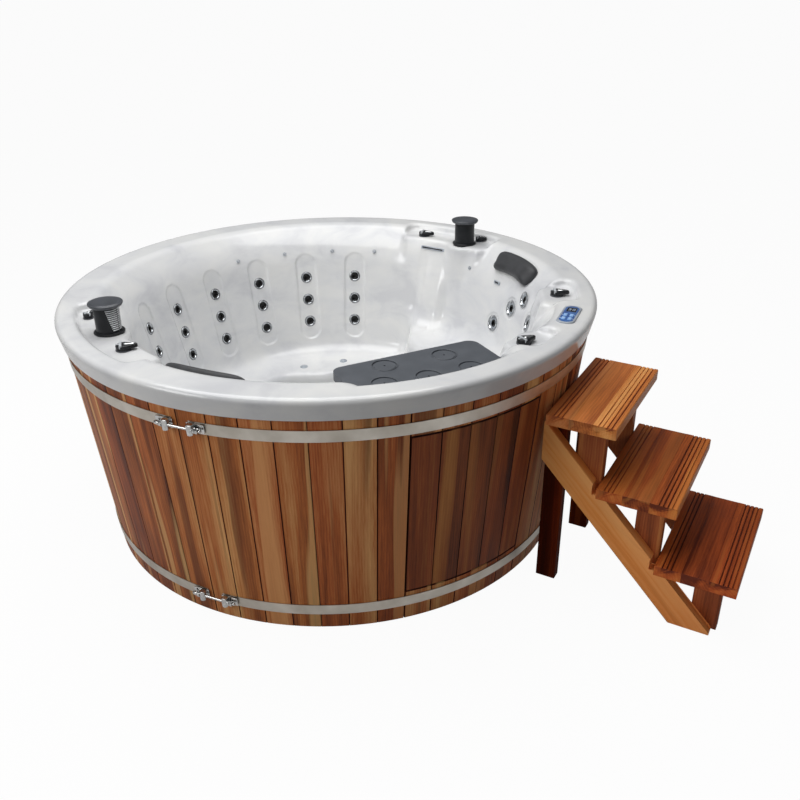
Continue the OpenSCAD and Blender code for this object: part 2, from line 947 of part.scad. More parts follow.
module hoses() {
    main_at = wall_r(water_main_z) + rail_off;
    color("#3a3d42") {
        // pump outlets to the ring main
        for (i = [0, 1]) {
            a = pump_azs[i];
            start = from_foot(a, wet_mid, pump_z + outlet_h + outlet_gap);
            end = polar(feed_azs[i], main_at, water_main_z - feed_h);
            hose([start, start + [0, 0, 45], end - [0, 0, 80], end], hose_r,
                 [-sin(a), cos(a), 0]);
        }
        // heater's return to the ring main
        heat_out = polar(heater_az, heater_r, heater_z) - heater_end;
        heat_back = polar(heater_feed_az, main_at, water_main_z - feed_h);
        hose([heat_out, heat_out - heater_end * 0.7, heat_back - [0, 0, 150], heat_back],
             hose_r, [cos(heater_az), sin(heater_az), 0]);
        // blower to the air main
        air_at = wall_r(air_main_z) + rail_off;
        air_start = polar(blower_az, blower_r, pan_t + blower_h);
        air_end = polar(air_feed_az, air_at, air_main_z - air_r - 10);
        hose([air_start, air_start + [0, 0, 60], air_end - [0, 0, 330], air_end],
             air_hose_r, [-sin(blower_az), cos(blower_az), 0]);
        // filter canister down to the tee on the second pump's suction
        drop = polar(cover_az, canister_x - 30, ledge_z + canister_flange_t - canister_h
                     - canister_tail);
        inlet = from_foot(pump_azs[1], tee_r, pump_z + suction_tee_h);
        hose([drop, drop - [0, 0, 235], inlet + [0, 0, 60], inlet], hose_r, [1, 0, 0]);
    }
}

module pump_wet_ends() {
    color(black)
        for (a = pump_azs)
            from_footwell(a, pump_z)
                difference() {
                    union() {
                        translate([0, 0, pump_start])
                            cylinder(r = wet_r, h = wet_l);
                        translate([0, 0, pump_start + wet_l / 2])
                            rotate([0, -90, 0])
                                cylinder(r = hose_r + 3, h = outlet_h);
                    }
                    translate([0, 0, pump_start - 1])
                        cylinder(d = suction_stem_d - 8, h = 40);
                }
}

module pump_motors() {
    color("#3d434b")
        for (a = pump_azs) {
            from_footwell(a, pump_z)
                translate([0, 0, pump_start + wet_l])
                    cylinder(r = motor_r, h = motor_l);
            translate([-foot_off, -foot_off, 0])
                rotate([0, 0, a])
                    translate([pump_start + wet_l + 20, -50, pan_t])
                        cube([motor_l - 50, 100, pump_z - motor_r / 2 - pan_t]);
        }
}

heater_az = 262;
heater_r = 730;
heater_l = 250;
heater_z = pan_t + 46;
heater_end = heater_l / 2 * [-sin(heater_az), cos(heater_az), 0];
box_z = 105;

module heater() {
    color(steel)
        at(heater_az, heater_r, 0) {
            translate([0, 0, heater_z])
                rotate([90, 0, 0]) {
                    cylinder(r = 32, h = heater_l - 30, center = true);
                    cylinder(r = hose_r + 3, h = heater_l, center = true);
                }
            for (s = [-1, 1])
                translate([-40, s * 90 - 12, pan_t])
                    cube([80, 24, box_z - pan_t]);
        }
}

module control_box() {
    color("#4a4e55")
        at(heater_az, heater_r, box_z)
            translate([-58, -145, 0])
                difference() {
                    cube([116, 290, 150]);
                    translate([112, 12, 12])
                        cube([10, 266, 126]);
                }
}

module air_blower() {
    color(black)
        at(blower_az, blower_r, pan_t) {
            cylinder(r = 66, h = blower_h - 25);
            cylinder(r = air_hose_r + 4, h = blower_h);
        }
}

blower_az = 62;
blower_r = 755;
blower_h = 155;
air_feed_az = column_az - 4.5;

// Suction grille in the footwell's wall, with its stem out to the pump
suction_d = 100;
suction_stem_d = 50;

module suction_grilles() {
    flat = foot_r - sqrt(foot_r * foot_r - suction_d * suction_d / 4) + fit;
    color("#c9ccd0")
        for (a = pump_azs)
            from_footwell(a, pump_z)
                difference() {
                    union() {
                        translate([0, 0, foot_r - flat - 10])
                            cylinder(d = suction_d, h = 10);
                        translate([0, 0, foot_r - flat])
                            cylinder(d = suction_stem_d, h = pump_start - foot_r + flat);
                        // tee for the filter's hose
                        if (a == pump_azs[1])
                            translate([0, 0, tee_r])
                                rotate([0, -90, 0])
                                    cylinder(r = hose_r + 3, h = suction_tee_h);
                    }
                    translate([0, 0, foot_r - flat - 5])
                        cylinder(d = suction_stem_d - 8, h = far);
                    for (k = [0:45:315])
                        rotate([0, 0, k])
                            translate([14, 0, foot_r - flat - 11])
                                cylinder(d = 6, h = 12);
                }
}

drain_d = 72;
drain_stem_d = 34;
conduit_d = 33;

module drain_fitting() {
    color("#c9ccd0")
        translate([-foot_off, -foot_off, 0])
            difference() {
                union() {
                    translate([0, 0, foot_z])
                        cylinder(d = drain_d, h = 4);
                    translate([0, 0, foot_z - shell_t - 34])
                        cylinder(d = drain_stem_d, h = shell_t + 34);
                }
                translate([0, 0, foot_z - shell_t - 35])
                    cylinder(d = 20, h = 80);
            }
}

// Air fittings in the bench
seat_air = [[-139, 469], [43, 517]];
air_stem_d = 16;

module seat_air_fittings() {
    color("#c9ccd0")
        for (p = seat_air)
            translate([p[0], p[1], bench_z]) {
                difference() {
                    cylinder(d = 34, h = 3);
                    for (k = [0:60:300])
                        rotate([0, 0, k])
                            translate([10, 0, -1])
                                cylinder(d = 3, h = 5, $fn = 16);
                }
                translate([0, 0, -shell_t - 22])
                    cylinder(d = air_stem_d, h = shell_t + 22.5);
            }
}

// ---------------------------------------------------------------- filter

skimmer_z0 = 712;
skimmer_h = 60;
skimmer_w = 120;

module skimmer_mouth(g) {
    at(cover_az, cover_x0 - pod_margin - 10, skimmer_z0 - g)
        translate([0, -skimmer_w / 2 - g, 0])
            cube([shell_t + 20, skimmer_w + 2 * g, skimmer_h + 2 * g]);
}

module filter_canister() {
    top = ledge_z + canister_flange_t;
    bottom = top - canister_h;
    mouth_x = cover_x0 - pod_margin;
    color(pipe_white)
        at(cover_az, 0, 0)
            difference() {
                union() {
                    translate([canister_x, 0, bottom])
                        cylinder(d = canister_d, h = canister_h);
                    translate([canister_x, 0, ledge_z])
                        cylinder(d = canister_d + 22, h = canister_flange_t);
                    // outlet under the canister
                    translate([canister_x - 30, 0, bottom - canister_tail])
                        cylinder(r = hose_r + 3, h = canister_tail + 1);
                    // throat from the mouth in the pod's wall
                    translate([mouth_x, -skimmer_w / 2, skimmer_z0])
                        cube([canister_x - mouth_x, skimmer_w, skimmer_h]);
                }
                translate([canister_x, 0, bottom + canister_wall])
                    cylinder(d = canister_d - 2 * canister_wall, h = canister_h);
                translate([mouth_x - 1, -skimmer_w / 2 + canister_wall,
                           skimmer_z0 + canister_wall])
                    cube([canister_x - mouth_x, skimmer_w - 2 * canister_wall,
                          skimmer_h - 2 * canister_wall]);
            }
}

module filter_cartridge() {
    top = cartridge_top_z;
    color("#eef0f2")
        at(cover_az, canister_x, 0) {
            difference() {
                translate([0, 0, top - 24 - cartridge_h])
                    cylinder(d = cartridge_d, h = cartridge_h);
                translate([0, 0, top - 24 - cartridge_h - 1])
                    cylinder(d = 54, h = cartridge_h - 12);
                for (k = [0:15:345])
                    rotate([0, 0, k])
                        translate([cartridge_d / 2 - 9, -1.5, top - 24 - cartridge_h + 12])
                            cube([20, 3, cartridge_h - 24]);
            }
            // foot that stands on the canister's floor
            difference() {
                translate([0, 0, ledge_z + canister_flange_t - canister_h + canister_wall])
                    cylinder(d = 90, h = top - 24 - cartridge_h - ledge_z - canister_flange_t
                             + canister_h - canister_wall + 0.5);
                translate([0, 0, 0])
                    cylinder(d = 54, h = top - 24 - 20);
            }
            // handle
            difference() {
                translate([-40, -8, top - 24.5])
                    cube([80, 16, 24.5]);
                translate([-28, -9, top - 25])
                    cube([56, 18, 17]);
            }
        }
}

module filter_cover() {
    rib = 10;
    color(grey_plate)
        rotate([0, 0, cover_az])
            difference() {
                union() {
                    translate([0, 0, cover_z - cover_t])
                        linear_extrude(cover_t)
                            cover_outline(0);
                    translate([0, 0, ledge_z])
                        linear_extrude(cover_z - cover_t - ledge_z + 1)
                            difference() {
                                cover_outline(0);
                                cover_outline(-rib);
                            }
                }
                for (c = cups)
                    rotate([0, 0, c[1]])
                        translate([c[0], 0, cover_z - 2.5]) {
                            difference() {
                                cylinder(d = cup_d, h = 4);
                                translate([0, 0, -1])
                                    cylinder(d = cup_d - 8, h = 6);
                            }
                            translate([0, 0, -1])
                                cylinder(d = 7, h = 5, $fn = 24);
                        }
            }
}

// ---------------------------------------------------------------- speakers

module speaker_sleeves() {
    color(black)
        for (s = [left_speaker, back_speaker])
            at(s[0], s[1], deck_z - sleeve_h)
                difference() {
                    union() {
                        cylinder(d = sleeve_d, h = sleeve_h);
                        translate([0, 0, sleeve_h - shell_t - boss_drop - 4])
                            cylinder(d = sleeve_d + 10, h = 4);
                    }
                    translate([0, 0, 3])
                        cylinder(d = collar_neck_d + 2 * running, h = sleeve_h);
                    translate([0, 0, -1])
                        cylinder(d = 20, h = 6);
                }
}

// Collar that turns in the sleeve; the tower slides in it on a key
module speaker_collar(s) {
    neck = tower_engaged - 4;
    color(black)
        at(s[0], s[1], deck_z + fit)
            rotate([0, 0, s[2] - s[0]])
                difference() {
                    union() {
                        cylinder(d = collar_d, h = collar_t - 2 - fit);
                        cylinder(d = collar_d - 8, h = collar_t - fit);
                        translate([0, 0, -neck])
                            cylinder(d = collar_neck_d, h = neck + 1);
                    }
                    translate([0, 0, -neck - 1])
                        cylinder(d = tower_d + 2 * fit, h = neck + collar_t + 2);
                }
}

module speaker_tower(s) {
    color(black)
        at(s[0], s[1], deck_z)
            rotate([0, 0, s[2] - s[0]])
                difference() {
                    union() {
                        translate([0, 0, -tower_engaged])
                            cylinder(d = tower_d, h = tower_len);
                        translate([0, 0, tower_rise - cap_t])
                            cylinder(d1 = cap_d - 8, d2 = cap_d, h = cap_t - 6);
                        translate([0, 0, tower_rise - 6])
                            cylinder(d = cap_d, h = 4);
                        translate([0, 0, tower_rise - 2])
                            cylinder(d = cap_d - 12, h = 2);
                    }
                    translate([0, 0, -tower_engaged - 1])
                        cylinder(d = tower_d - 20, h = tower_len - 6);
                    // seat for the grille
                    sector_pocket(tower_d / 2 - grille_t - 0.6, grille_span + 2);
                }
}

grille_z0 = collar_t + 5;
grille_z1 = tower_rise - cap_t - 5;

module sector_pocket(r, span) {
    translate([0, 0, grille_z0])
        rotate([0, 0, -span / 2])
            rotate_extrude(angle = span)
                translate([r, 0])
                    square([20, grille_z1 - grille_z0]);
}

module speaker_grille(s) {
    pitch = (grille_z1 - grille_z0) / slat_n;
    r0 = tower_d / 2 - grille_t - 0.6 + fit / 2;
    color(steel)
        at(s[0], s[1], deck_z)
            rotate([0, 0, s[2] - s[0]]) {
                grille_arc(-grille_span / 2, grille_span, r0, 1, grille_z0 + fit,
                           grille_z1 - fit);
                for (i = [0:slat_n - 1])
                    grille_arc(-grille_span / 2 + 1, grille_span - 2, r0 + 0.5, grille_t - 0.5,
                               grille_z0 + (i + 0.25) * pitch, grille_z0 + (i + 0.75) * pitch);
                grille_arc(-1, 2, r0 + 0.5, grille_t - 0.2, grille_z0 + 1, grille_z1 - 1);
            }
}

// Curved bar of the grille from height z0 to z1
module grille_arc(a0, span, r, t, z0, z1) {
    step = span / grille_facets;
    translate([0, 0, z0])
        linear_extrude(z1 - z0)
            polygon([
                for (i = [0:grille_facets]) r * [cos(a0 + i * step), sin(a0 + i * step)],
                for (i = [grille_facets:-1:0])
                    (r + t) * [cos(a0 + i * step), sin(a0 + i * step)]
            ]);
}

module left_collar() {
    speaker_collar(left_speaker);
}

module left_tower() {
    speaker_tower(left_speaker);
}

module left_grille() {
    speaker_grille(left_speaker);
}

module back_collar() {
    speaker_collar(back_speaker);
}

module back_tower() {
    speaker_tower(back_speaker);
}

module back_grille() {
    speaker_grille(back_speaker);
}

// ---------------------------------------------------------------- valves

// Teardrop outline from a hub of radius r1 to a tail of radius r2 at distance l
module teardrop(r1, r2, l) {
    a = acos((r1 - r2) / l);
    // the straight sides start just inside the two circles
    s1 = r1 - side_inset;
    s2 = r2 - side_inset;
    circle(r1);
    translate([l, 0])
        circle(r2);
    polygon([
        [s1 * cos(a), s1 * sin(a)], [l + s2 * cos(a), s2 * sin(a)],
        [l + s2 * cos(a), -s2 * sin(a)], [s1 * cos(a), -s1 * sin(a)]
    ]);
}

module knob(v) {
    hub = (v[3] ? knob_d : small_knob_d) / 2;
    tail = v[3] ? 9 : 7;
    reach = (v[3] ? knob_l : small_knob_l) - hub - tail;
    base = deck_z + valve_flange_t + fit;
    color(black)
        at(v[0], v[1], base)
            rotate([0, 0, v[2] - v[0]]) {
                cylinder(r = hub - 1.5, h = 4);
                translate([0, 0, 3.5])
                    linear_extrude(knob_h - 9.5)
                        teardrop(hub, tail, reach);
                translate([0, 0, knob_h - 6.5])
                    linear_extrude(4)
                        teardrop(hub - 2, tail - 2, reach);
                translate([0, 0, knob_h - 3])
                    linear_extrude(3)
                        teardrop(hub - 7, tail - 5, reach);
                translate([0, 0, -knob_stem_l])
                    cylinder(d = knob_stem_d, h = knob_stem_l + 1);
            }
}

module left_large_knob() {
    knob(left_large);
}

module left_small_knob() {
    knob(left_small);
}

module back_large_knob() {
    knob(back_large);
}

module back_small_knob() {
    knob(back_small);
}

module right_knob() {
    knob(right_large);
}

module front_knob() {
    knob(front_large);
}

module valve_bodies() {
    color("#55585d")
        for (v = valves)
            at(v[0], v[1], deck_z)
                difference() {
                    union() {
                        cylinder(d = (v[3] ? knob_d : small_knob_d) + 2, h = valve_flange_t);
                        translate([0, 0, -shell_t - 1])
                            cylinder(d = valve_neck_d, h = shell_t + 2);
                        translate([0, 0, -shell_t - valve_body_l])
                            cylinder(d = v[3] ? 56 : 34, h = valve_body_l);
                    }
                    translate([0, 0, valve_flange_t - knob_stem_l - 1])
                        cylinder(d = knob_stem_d + 2 * running, h = knob_stem_l + 2);
                }
}

// ---------------------------------------------------------------- control panel

// Rectangle with cut corners, long side along Y
module cut_rect(w, l, c) {
    polygon([
        [-w / 2 + c, -l / 2], [w / 2 - c, -l / 2], [w / 2, -l / 2 + c], [w / 2, l / 2 - c],
        [w / 2 - c, l / 2], [-w / 2 + c, l / 2], [-w / 2, l / 2 - c], [-w / 2, -l / 2 + c]
    ]);
}

module at_control(z) {
    at(control_az, control_r, z)
        children();
}

module control_panel() {
    color("#9aa0a8")
        at_control(tub_h)
            difference() {
                union() {
                    linear_extrude(control_t)
                        cut_rect(control_w, control_l, 16);
                    translate([-control_body_w / 2, -control_body_l / 2, -control_body_h])
                        cube([control_body_w, control_body_l, control_body_h + 1]);
                }
                // recess for the display's window
                translate([-control_w / 2 + 12, 4, control_t - 1.5])
                    cube([control_w - 24, control_l / 2 - 22, 2]);
                for (k = keys)
                    translate([k[1], k[0], control_t - 4])
                        key_block(fit, 5);
            }
}

module key_block(g, h) {
    translate([-key_w / 2 - g, -key_l / 2 - g, 0])
        cube([key_w + 2 * g, key_l + 2 * g, h]);
}

// A key stands on its switch with its travel free below it
module key(i) {
    color("#4d7fc4")
        at_control(tub_h + control_t - 4 + key_travel + 0.2)
            translate([keys[i][1], keys[i][0], 0])
                key_block(0, 3 + key_rise - key_travel);
}

module key_1() {
    key(0);
}

module key_2() {
    key(1);
}

module key_3() {
    key(2);
}

module key_4() {
    key(3);
}

// ---------------------------------------------------------------- pillows

// Moulded foam pad on the flare: crowned towards the bath, drawn in at its edges
pillow_u = 22;
pillow_v = 14;

module pillow(az) {
    flare_a = atan((lip_r - wall_r(flare_z)) / cove_h);
    mid_r = (lip_r + wall_r(flare_z)) / 2 - 2;
    mid_z = (tub_h + flare_z) / 2 - 2;
    half_az = pillow_l / 2 / mid_r * 57.3;
    // shape of the section at u from -1 to 1
    function swell(u) = pow(1 - pow(abs(u) * 0.985, 3.2), 0.42);
    function spot(u, s, n) =
        let (rr = mid_r + s * sin(flare_a) - n * cos(flare_a),
             zz = mid_z + s * cos(flare_a) + n * sin(flare_a), a = az + u * half_az)
            [rr * cos(a), rr * sin(a), zz];
    function ring(u) = [
        for (j = [0:pillow_v])
            let (t = 180 * j / pillow_v, k = swell(u))
                spot(u, pillow_h / 2 * k * cos(t) * pow(abs(cos(t)) + 0.001, -0.25),
                     1.2 + pillow_t * (0.35 + 0.65 * k) * pow(sin(t), 0.6) * k)
    ];
    n = pillow_v + 1;
    points = [for (i = [-pillow_u:2:pillow_u]) each ring(i / pillow_u)];
    rings = pillow_u;
    walls = [
        for (i = [0:rings - 1], k = [0:n - 1])
            let (a = i * n + k, b = i * n + (k + 1) % n)
                each [[a, b, b + n], [a, b + n, a + n]]
    ];
    last = rings * n;
    caps = concat([for (k = [1:n - 2]) [0, k + 1, k]],
                  [for (k = [1:n - 2]) [last, last + k, last + k + 1]]);
    color("#3a3b3e")
        polyhedron(points, concat(walls, caps));
}

module back_pillow() {
    pillow(seat_az);
}

module front_pillow() {
    pillow(241.5);
}

// ---------------------------------------------------------------- small fittings

// Spouts: azimuth, height, length
spouts = [[53.3, deck_z - 37, 118], [23.5, deck_z - 97, 40]];
spout_body_h = 9;

module water_spouts() {
    color("#8d9298")
        for (s = spouts)
            on_wall(s[0], s[1]) {
                flat = wall_r(s[1]) - sqrt(pow(wall_r(s[1]), 2) - pow(s[2] / 2, 2)) + fit;
                difference() {
                    union() {
                        translate([-7, -s[2] / 2, -flat - 3])
                            cube([14, s[2], 3]);
                        translate([-spout_body_h / 2, -s[2] / 2 + 4, -flat - 1])
                            cube([spout_body_h, s[2] - 8, 30]);
                    }
                    translate([-2, -s[2] / 2 + 8, -flat - 4])
                        cube([4, s[2] - 16, 24]);
                }
            }
}

light_z = deck_z - 77;
lights = [[122.1, light_z], [105.5, light_z], [89.1, light_z], [74.4, light_z],
          [37.6, light_z - 5]];
light_stem_d = 10;

module waterline_lights() {
    color("#b8bcc0")
        for (l = lights)
            on_wall(l[0], l[1]) {
                translate([0, 0, -2.4])
                    cylinder(d = 16, h = 2);
                translate([0, 0, -1])
                    cylinder(d = light_stem_d, h = 30);
            }
}

// ---------------------------------------------------------------- steps

// Local frame of the steps: +X away from the tub, Y across, near side at low Y
module at_steps() {
    rotate([0, 0, steps_az])
        translate([0, steps_shift, 0])
            children();
}

top_step_z = 3 * step_rise;
skirt_at_top = stave_r(top_step_z);
step_front = skirt_at_top + step_gap + 233;
leg_w = 70;
leg_gap = 2;
side_y = tread_w / 2 - tread_over - side_t;
leg_x = sqrt(pow(skirt_at_top + leg_gap, 2) - pow(side_y - side_t - steps_shift, 2));

// Front edge of tread k, counted from the top
function front_x(k) = step_front + k * step_going;
function tread_z(k) = (3 - k) * step_rise;

module tread(k) {
    x0 = k == 0 ? skirt_at_top + step_gap : front_x(k) - tread_l;
    length = front_x(k) - x0;
    translate([x0, -tread_w / 2, tread_z(k) - tread_t])
        difference() {
            cube([length, tread_w, tread_t]);
            // grooves for grip, near the front edge and near the back edge
            for (g = [1:4])
                translate([length - 14 * g - 4, -1, tread_t - 3])
                    cube([4, tread_w + 2, 4]);
            for (g = [1:3])
                translate([14 * g + 10, -1, tread_t - 3])
                    cube([4, tread_w + 2, 4]);
        }
}

module step_treads() {
    color(cedar)
        at_steps()
            for (k = [0:2])
                tread(k);
}

// Side view outline of a stringer: upper edge just meets the treads' undersides
stringer_tilt = atan(step_rise / step_going);
stringer_foot = front_x(2) - 60;
stringer_run = stringer_h / sin(stringer_tilt);

module stringer_outline(grow) {
    top_x = leg_x;
    rise = tan(stringer_tilt);
    polygon([
        [stringer_foot + grow, 0], [stringer_foot - stringer_run, 0],
        [top_x, (stringer_foot - stringer_run - top_x) * rise],
        [top_x, (stringer_foot + grow - top_x) * rise]
    ]);
}

module side_board(y) {
    translate([0, y + side_t, 0])
        rotate([90, 0, 0])
            linear_extrude(side_t)
                children();
}

module step_stringers() {
    color(honey)
        at_steps()
            for (y = [-side_y - side_t, side_y])
                side_board(y)
                    difference() {
                        stringer_outline(0);
                        // notches where the treads pass
                        for (k = [0:2])
                            translate([front_x(k) - tread_l - 20, tread_z(k) - tread_t])
                                square([tread_l + 200, tread_t]);
                        translate([0, tread_z(0) - tread_t])
                            square([far, far]);
                    }
}

// Uprights and rear legs stand inside the stringers, under the treads
module step_uprights() {
    color(cedar)
        at_steps()
            for (y = [-side_y, side_y - side_t])
                side_board(y) {
                    translate([leg_x, 0])
                        square([leg_w, tread_z(0) - tread_t]);
                    for (k = [0:2])
                        difference() {
                            translate([front_x(k) - upright_back - upright_w, 0])
                                square([upright_w, tread_z(k) - tread_t]);
                            // cut off along the stringer's lower edge
                            polygon([
                                [0, -1], [stringer_foot - stringer_run, -1],
                                [stringer_foot - stringer_run, 0],
                                [leg_x, (stringer_foot - stringer_run - leg_x)
                                 * tan(stringer_tilt)], [0, 0]
                            ]);
                        }
                }
}

// ---------------------------------------------------------------- nodes

tub_shell();
skirt_staves();
access_panel();
upper_hoop();
lower_hoop();
hoop_lugs();
draw_bolts();
base_pan();
frame_rings();
frame_posts();
footwell_bearers();
small_jets();
seat_jet_1();
seat_jet_2();
seat_jet_3();
seat_jet_4();
jet_bodies();
water_rails();
air_rails();
water_main();
air_main();
hoses();
pump_wet_ends();
pump_motors();
heater();
control_box();
air_blower();
suction_grilles();
drain_fitting();
seat_air_fittings();
filter_canister();
filter_cartridge();
filter_cover();
speaker_sleeves();
left_collar();
left_tower();
left_grille();
back_collar();
back_tower();
back_grille();
left_large_knob();
left_small_knob();
back_large_knob();
back_small_knob();
right_knob();
front_knob();
valve_bodies();
control_panel();
key_1();
key_2();
key_3();
key_4();
back_pillow();
front_pillow();
water_spouts();
waterline_lights();
step_treads();
step_stringers();
step_uprights();
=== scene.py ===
# A round spa tub in a skirt of cedar staves, with its steps: the pieces and finishes that show.
import math
import random

import bpy
import numpy as np
from mathutils import Matrix, Vector


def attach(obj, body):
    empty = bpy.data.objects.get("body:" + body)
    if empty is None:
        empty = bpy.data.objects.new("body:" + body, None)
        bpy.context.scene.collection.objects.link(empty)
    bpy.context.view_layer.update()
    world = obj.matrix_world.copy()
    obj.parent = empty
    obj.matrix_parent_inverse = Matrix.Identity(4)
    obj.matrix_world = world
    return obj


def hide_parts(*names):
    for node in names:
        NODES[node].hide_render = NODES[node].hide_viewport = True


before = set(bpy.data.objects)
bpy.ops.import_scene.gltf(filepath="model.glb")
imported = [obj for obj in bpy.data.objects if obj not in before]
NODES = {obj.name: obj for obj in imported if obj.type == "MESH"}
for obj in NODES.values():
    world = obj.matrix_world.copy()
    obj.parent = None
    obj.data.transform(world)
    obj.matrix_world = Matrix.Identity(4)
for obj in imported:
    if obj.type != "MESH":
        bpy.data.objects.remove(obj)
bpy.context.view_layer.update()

# ---------------------------------------------------------------- sizes
# In metres and degrees, the same as in the solids. _AZ is an azimuth round the tub's axis, _R a
# radius, _Z a height, _K a slope in metres of radius per metre of height.

# moulded shell: rim, the fascia under it, and the bath's wall, which leans out
RIM_R, RIM_Z = 1.0, 0.905
FASCIA_R, FASCIA_Z = 0.986, 0.8335
WALL_R, WALL_Z, WALL_K = 0.724, 0.6, 0.262
WALL_TILT = math.atan(WALL_K)

# floors of the bath: bench, raised seat and footwell
BENCH_Z, SEAT_Z, FOOT_Z = 0.35, 0.5, 0.1
FOOT_X, FOOT_Y, FOOT_R = -0.05, -0.05, 0.43
SEAT_AZ, SEAT_HALF, SEAT_FRONT = 18, 38, 0.44

# the wall flares to the rim, but for flat consoles that carry speakers, knobs and the cover
LIP_R, FLARE_Z, DECK_Z, DECK_R = 0.87, 0.812, 0.877, 0.925
CONSOLES = [(188, 227), (35, 65), (313.5, 324.5), (343.5, 357.5)]
FLARES = [(227, 313.5), (324.5, 343.5), (357.5, 395), (65, 188)]

# filter cover, the pocket it lies in and the pod under it
COVER_AZ, COVER_X, COVER_R, COVER_HALF, COVER_ROUND = 292, 0.612, 0.892, 0.264, 0.036
COVER_Z, LEDGE_Z, POD_MARGIN, POD_TOP = 0.85, 0.822, 0.024, 0.834

# six rows of three small jets, and four seat jets as azimuth and height
JET_AZS = [81.3 + 17.3 * i for i in range(6)]
JET_ZS = [0.488 + 0.0995 * i for i in range(3)]
SEAT_JETS = [(20.3, 0.618), (12.3, 0.717), (5.2, 0.786), (355.7, 0.735)]

# speakers: azimuth, radius and the way that the grille faces
SPEAKERS = {"left": (204.6, 0.834, 5), "back": (43.6, 0.834, 80)}

# knobs: azimuth, radius, the way that the lever points, and whether it is a large one
KNOBS = {
    "left_large_knob": (217.0, 0.851, 10, True),
    "left_small_knob": (193.6, 0.886, 60, False),
    "back_large_knob": (58.4, 0.838, -20, True),
    "back_small_knob": (41.6, 0.905, -20, False),
    "right_knob": (350.6, 0.857, -10, True),
    "front_knob": (316.8, 0.855, 26, True),
}
CONTROL_AZ, CONTROL_R = 333, 0.918

# skirt of staves with its access panel, and the hoops, drawn together at DRAW_AZ
STAVES, STAVE_T, STAVE_FOOT, STAVE_K = 60, 0.022, 0.897, 0.0954
SKIRT_Z0, SKIRT_Z1 = 0.004, 0.89
PANEL_AZ, PANEL_STAVES, PANEL_Z0, PANEL_Z1 = 282.9, 5, 0.128, 0.742
DRAW_AZ, HOOP_ZS = 241.6, (0.086, 0.776)

# steps: where they stand, the risers, and the boards' width, length and thickness
STEPS_AZ, STEPS_SHIFT = -33.9, 0.034
RISE, GOING = 0.229, 0.2185
TREAD_W, TREAD_L, TREAD_T = 0.518, 0.262, 0.04
SIDE_T, STRINGER_H = 0.039, 0.098


def polar(az, r, z=0.0):
    """Point at an azimuth in degrees, a radius and a height."""
    a = math.radians(az)
    return Vector((r * math.cos(a), r * math.sin(a), z))


def wall_r(z):
    """Radius of the bath's wall at a height."""
    return WALL_R + WALL_K * (z - WALL_Z)


def stave_r(z):
    """Radius of the skirt's outside at a height."""
    return STAVE_FOOT + STAVE_K * z


def moved(x, y, z):
    """A shift by x, y and z."""
    return Matrix.Translation((x, y, z))


def spun(degrees):
    """A turn about the upright axis."""
    return Matrix.Rotation(math.radians(degrees), 4, "Z")


def standing(az, r, z, turn=0.0):
    """Upright place at an azimuth; +X points away from the tub's axis, then turned by turn."""
    return Matrix.Translation(polar(az, r, z)) @ spun(az + turn)


def on_wall(az, z):
    """Place on the bath's wall: +Z goes out through the wall, and -X goes up it."""
    lean = Matrix.Rotation(math.pi / 2 + WALL_TILT, 4, "Y")
    return standing(az, wall_r(z), z) @ lean


# ---------------------------------------------------------------- finishes

def linear(code):
    """A colour written as sRGB hex, as the linear values that a shader takes."""
    out = []
    for i in (1, 3, 5):
        c = int(code[i:i + 2], 16) / 255
        out.append(c / 12.92 if c <= 0.04045 else ((c + 0.055) / 1.055) ** 2.4)
    return (*out, 1.0)


def add(mat, kind, values=None, links=None, stops=None, **settings):
    """Adds a node with its settings, socket values, incoming links and ramp stops."""
    tree = mat.node_tree
    made = tree.nodes.new(kind)
    for name, value in settings.items():
        setattr(made, name, value)
    for name, value in (values or {}).items():
        made.inputs[name].default_value = value
    for name, source in (links or {}).items():
        tree.links.new(source, made.inputs[name])
    if stops:
        ramp = made.color_ramp.elements
        while len(ramp) < len(stops):
            ramp.new(0.5)
        for element, (place, colour) in zip(ramp, stops):
            element.position = place
            element.color = linear(colour)
    return made


def finish(name, **values):
    """New material with one principled surface; values go straight on its sockets."""
    mat = bpy.data.materials.new(name)
    mat.use_nodes = True
    mat.node_tree.nodes.clear()
    surface = add(mat, "ShaderNodeBsdfPrincipled",
                  {k.replace("_", " "): v for k, v in values.items()})
    add(mat, "ShaderNodeOutputMaterial", links={"Surface": surface.outputs[0]})
    return mat, surface


def join(mat, source, surface, socket):
    """Leads a node's output to one of the surface's sockets."""
    mat.node_tree.links.new(source, surface.inputs[socket])


def millimetres(mat, size, stretch=(1, 1, 1), source=None):
    """Coordinates in which one unit is size millimetres, stretched along each axis."""
    if source is None:
        source = add(mat, "ShaderNodeTexCoord").outputs["Object"]
    scale = [1000 / size / s for s in stretch]
    return add(mat, "ShaderNodeMapping", {"Scale": scale}, {"Vector": source}).outputs[0]


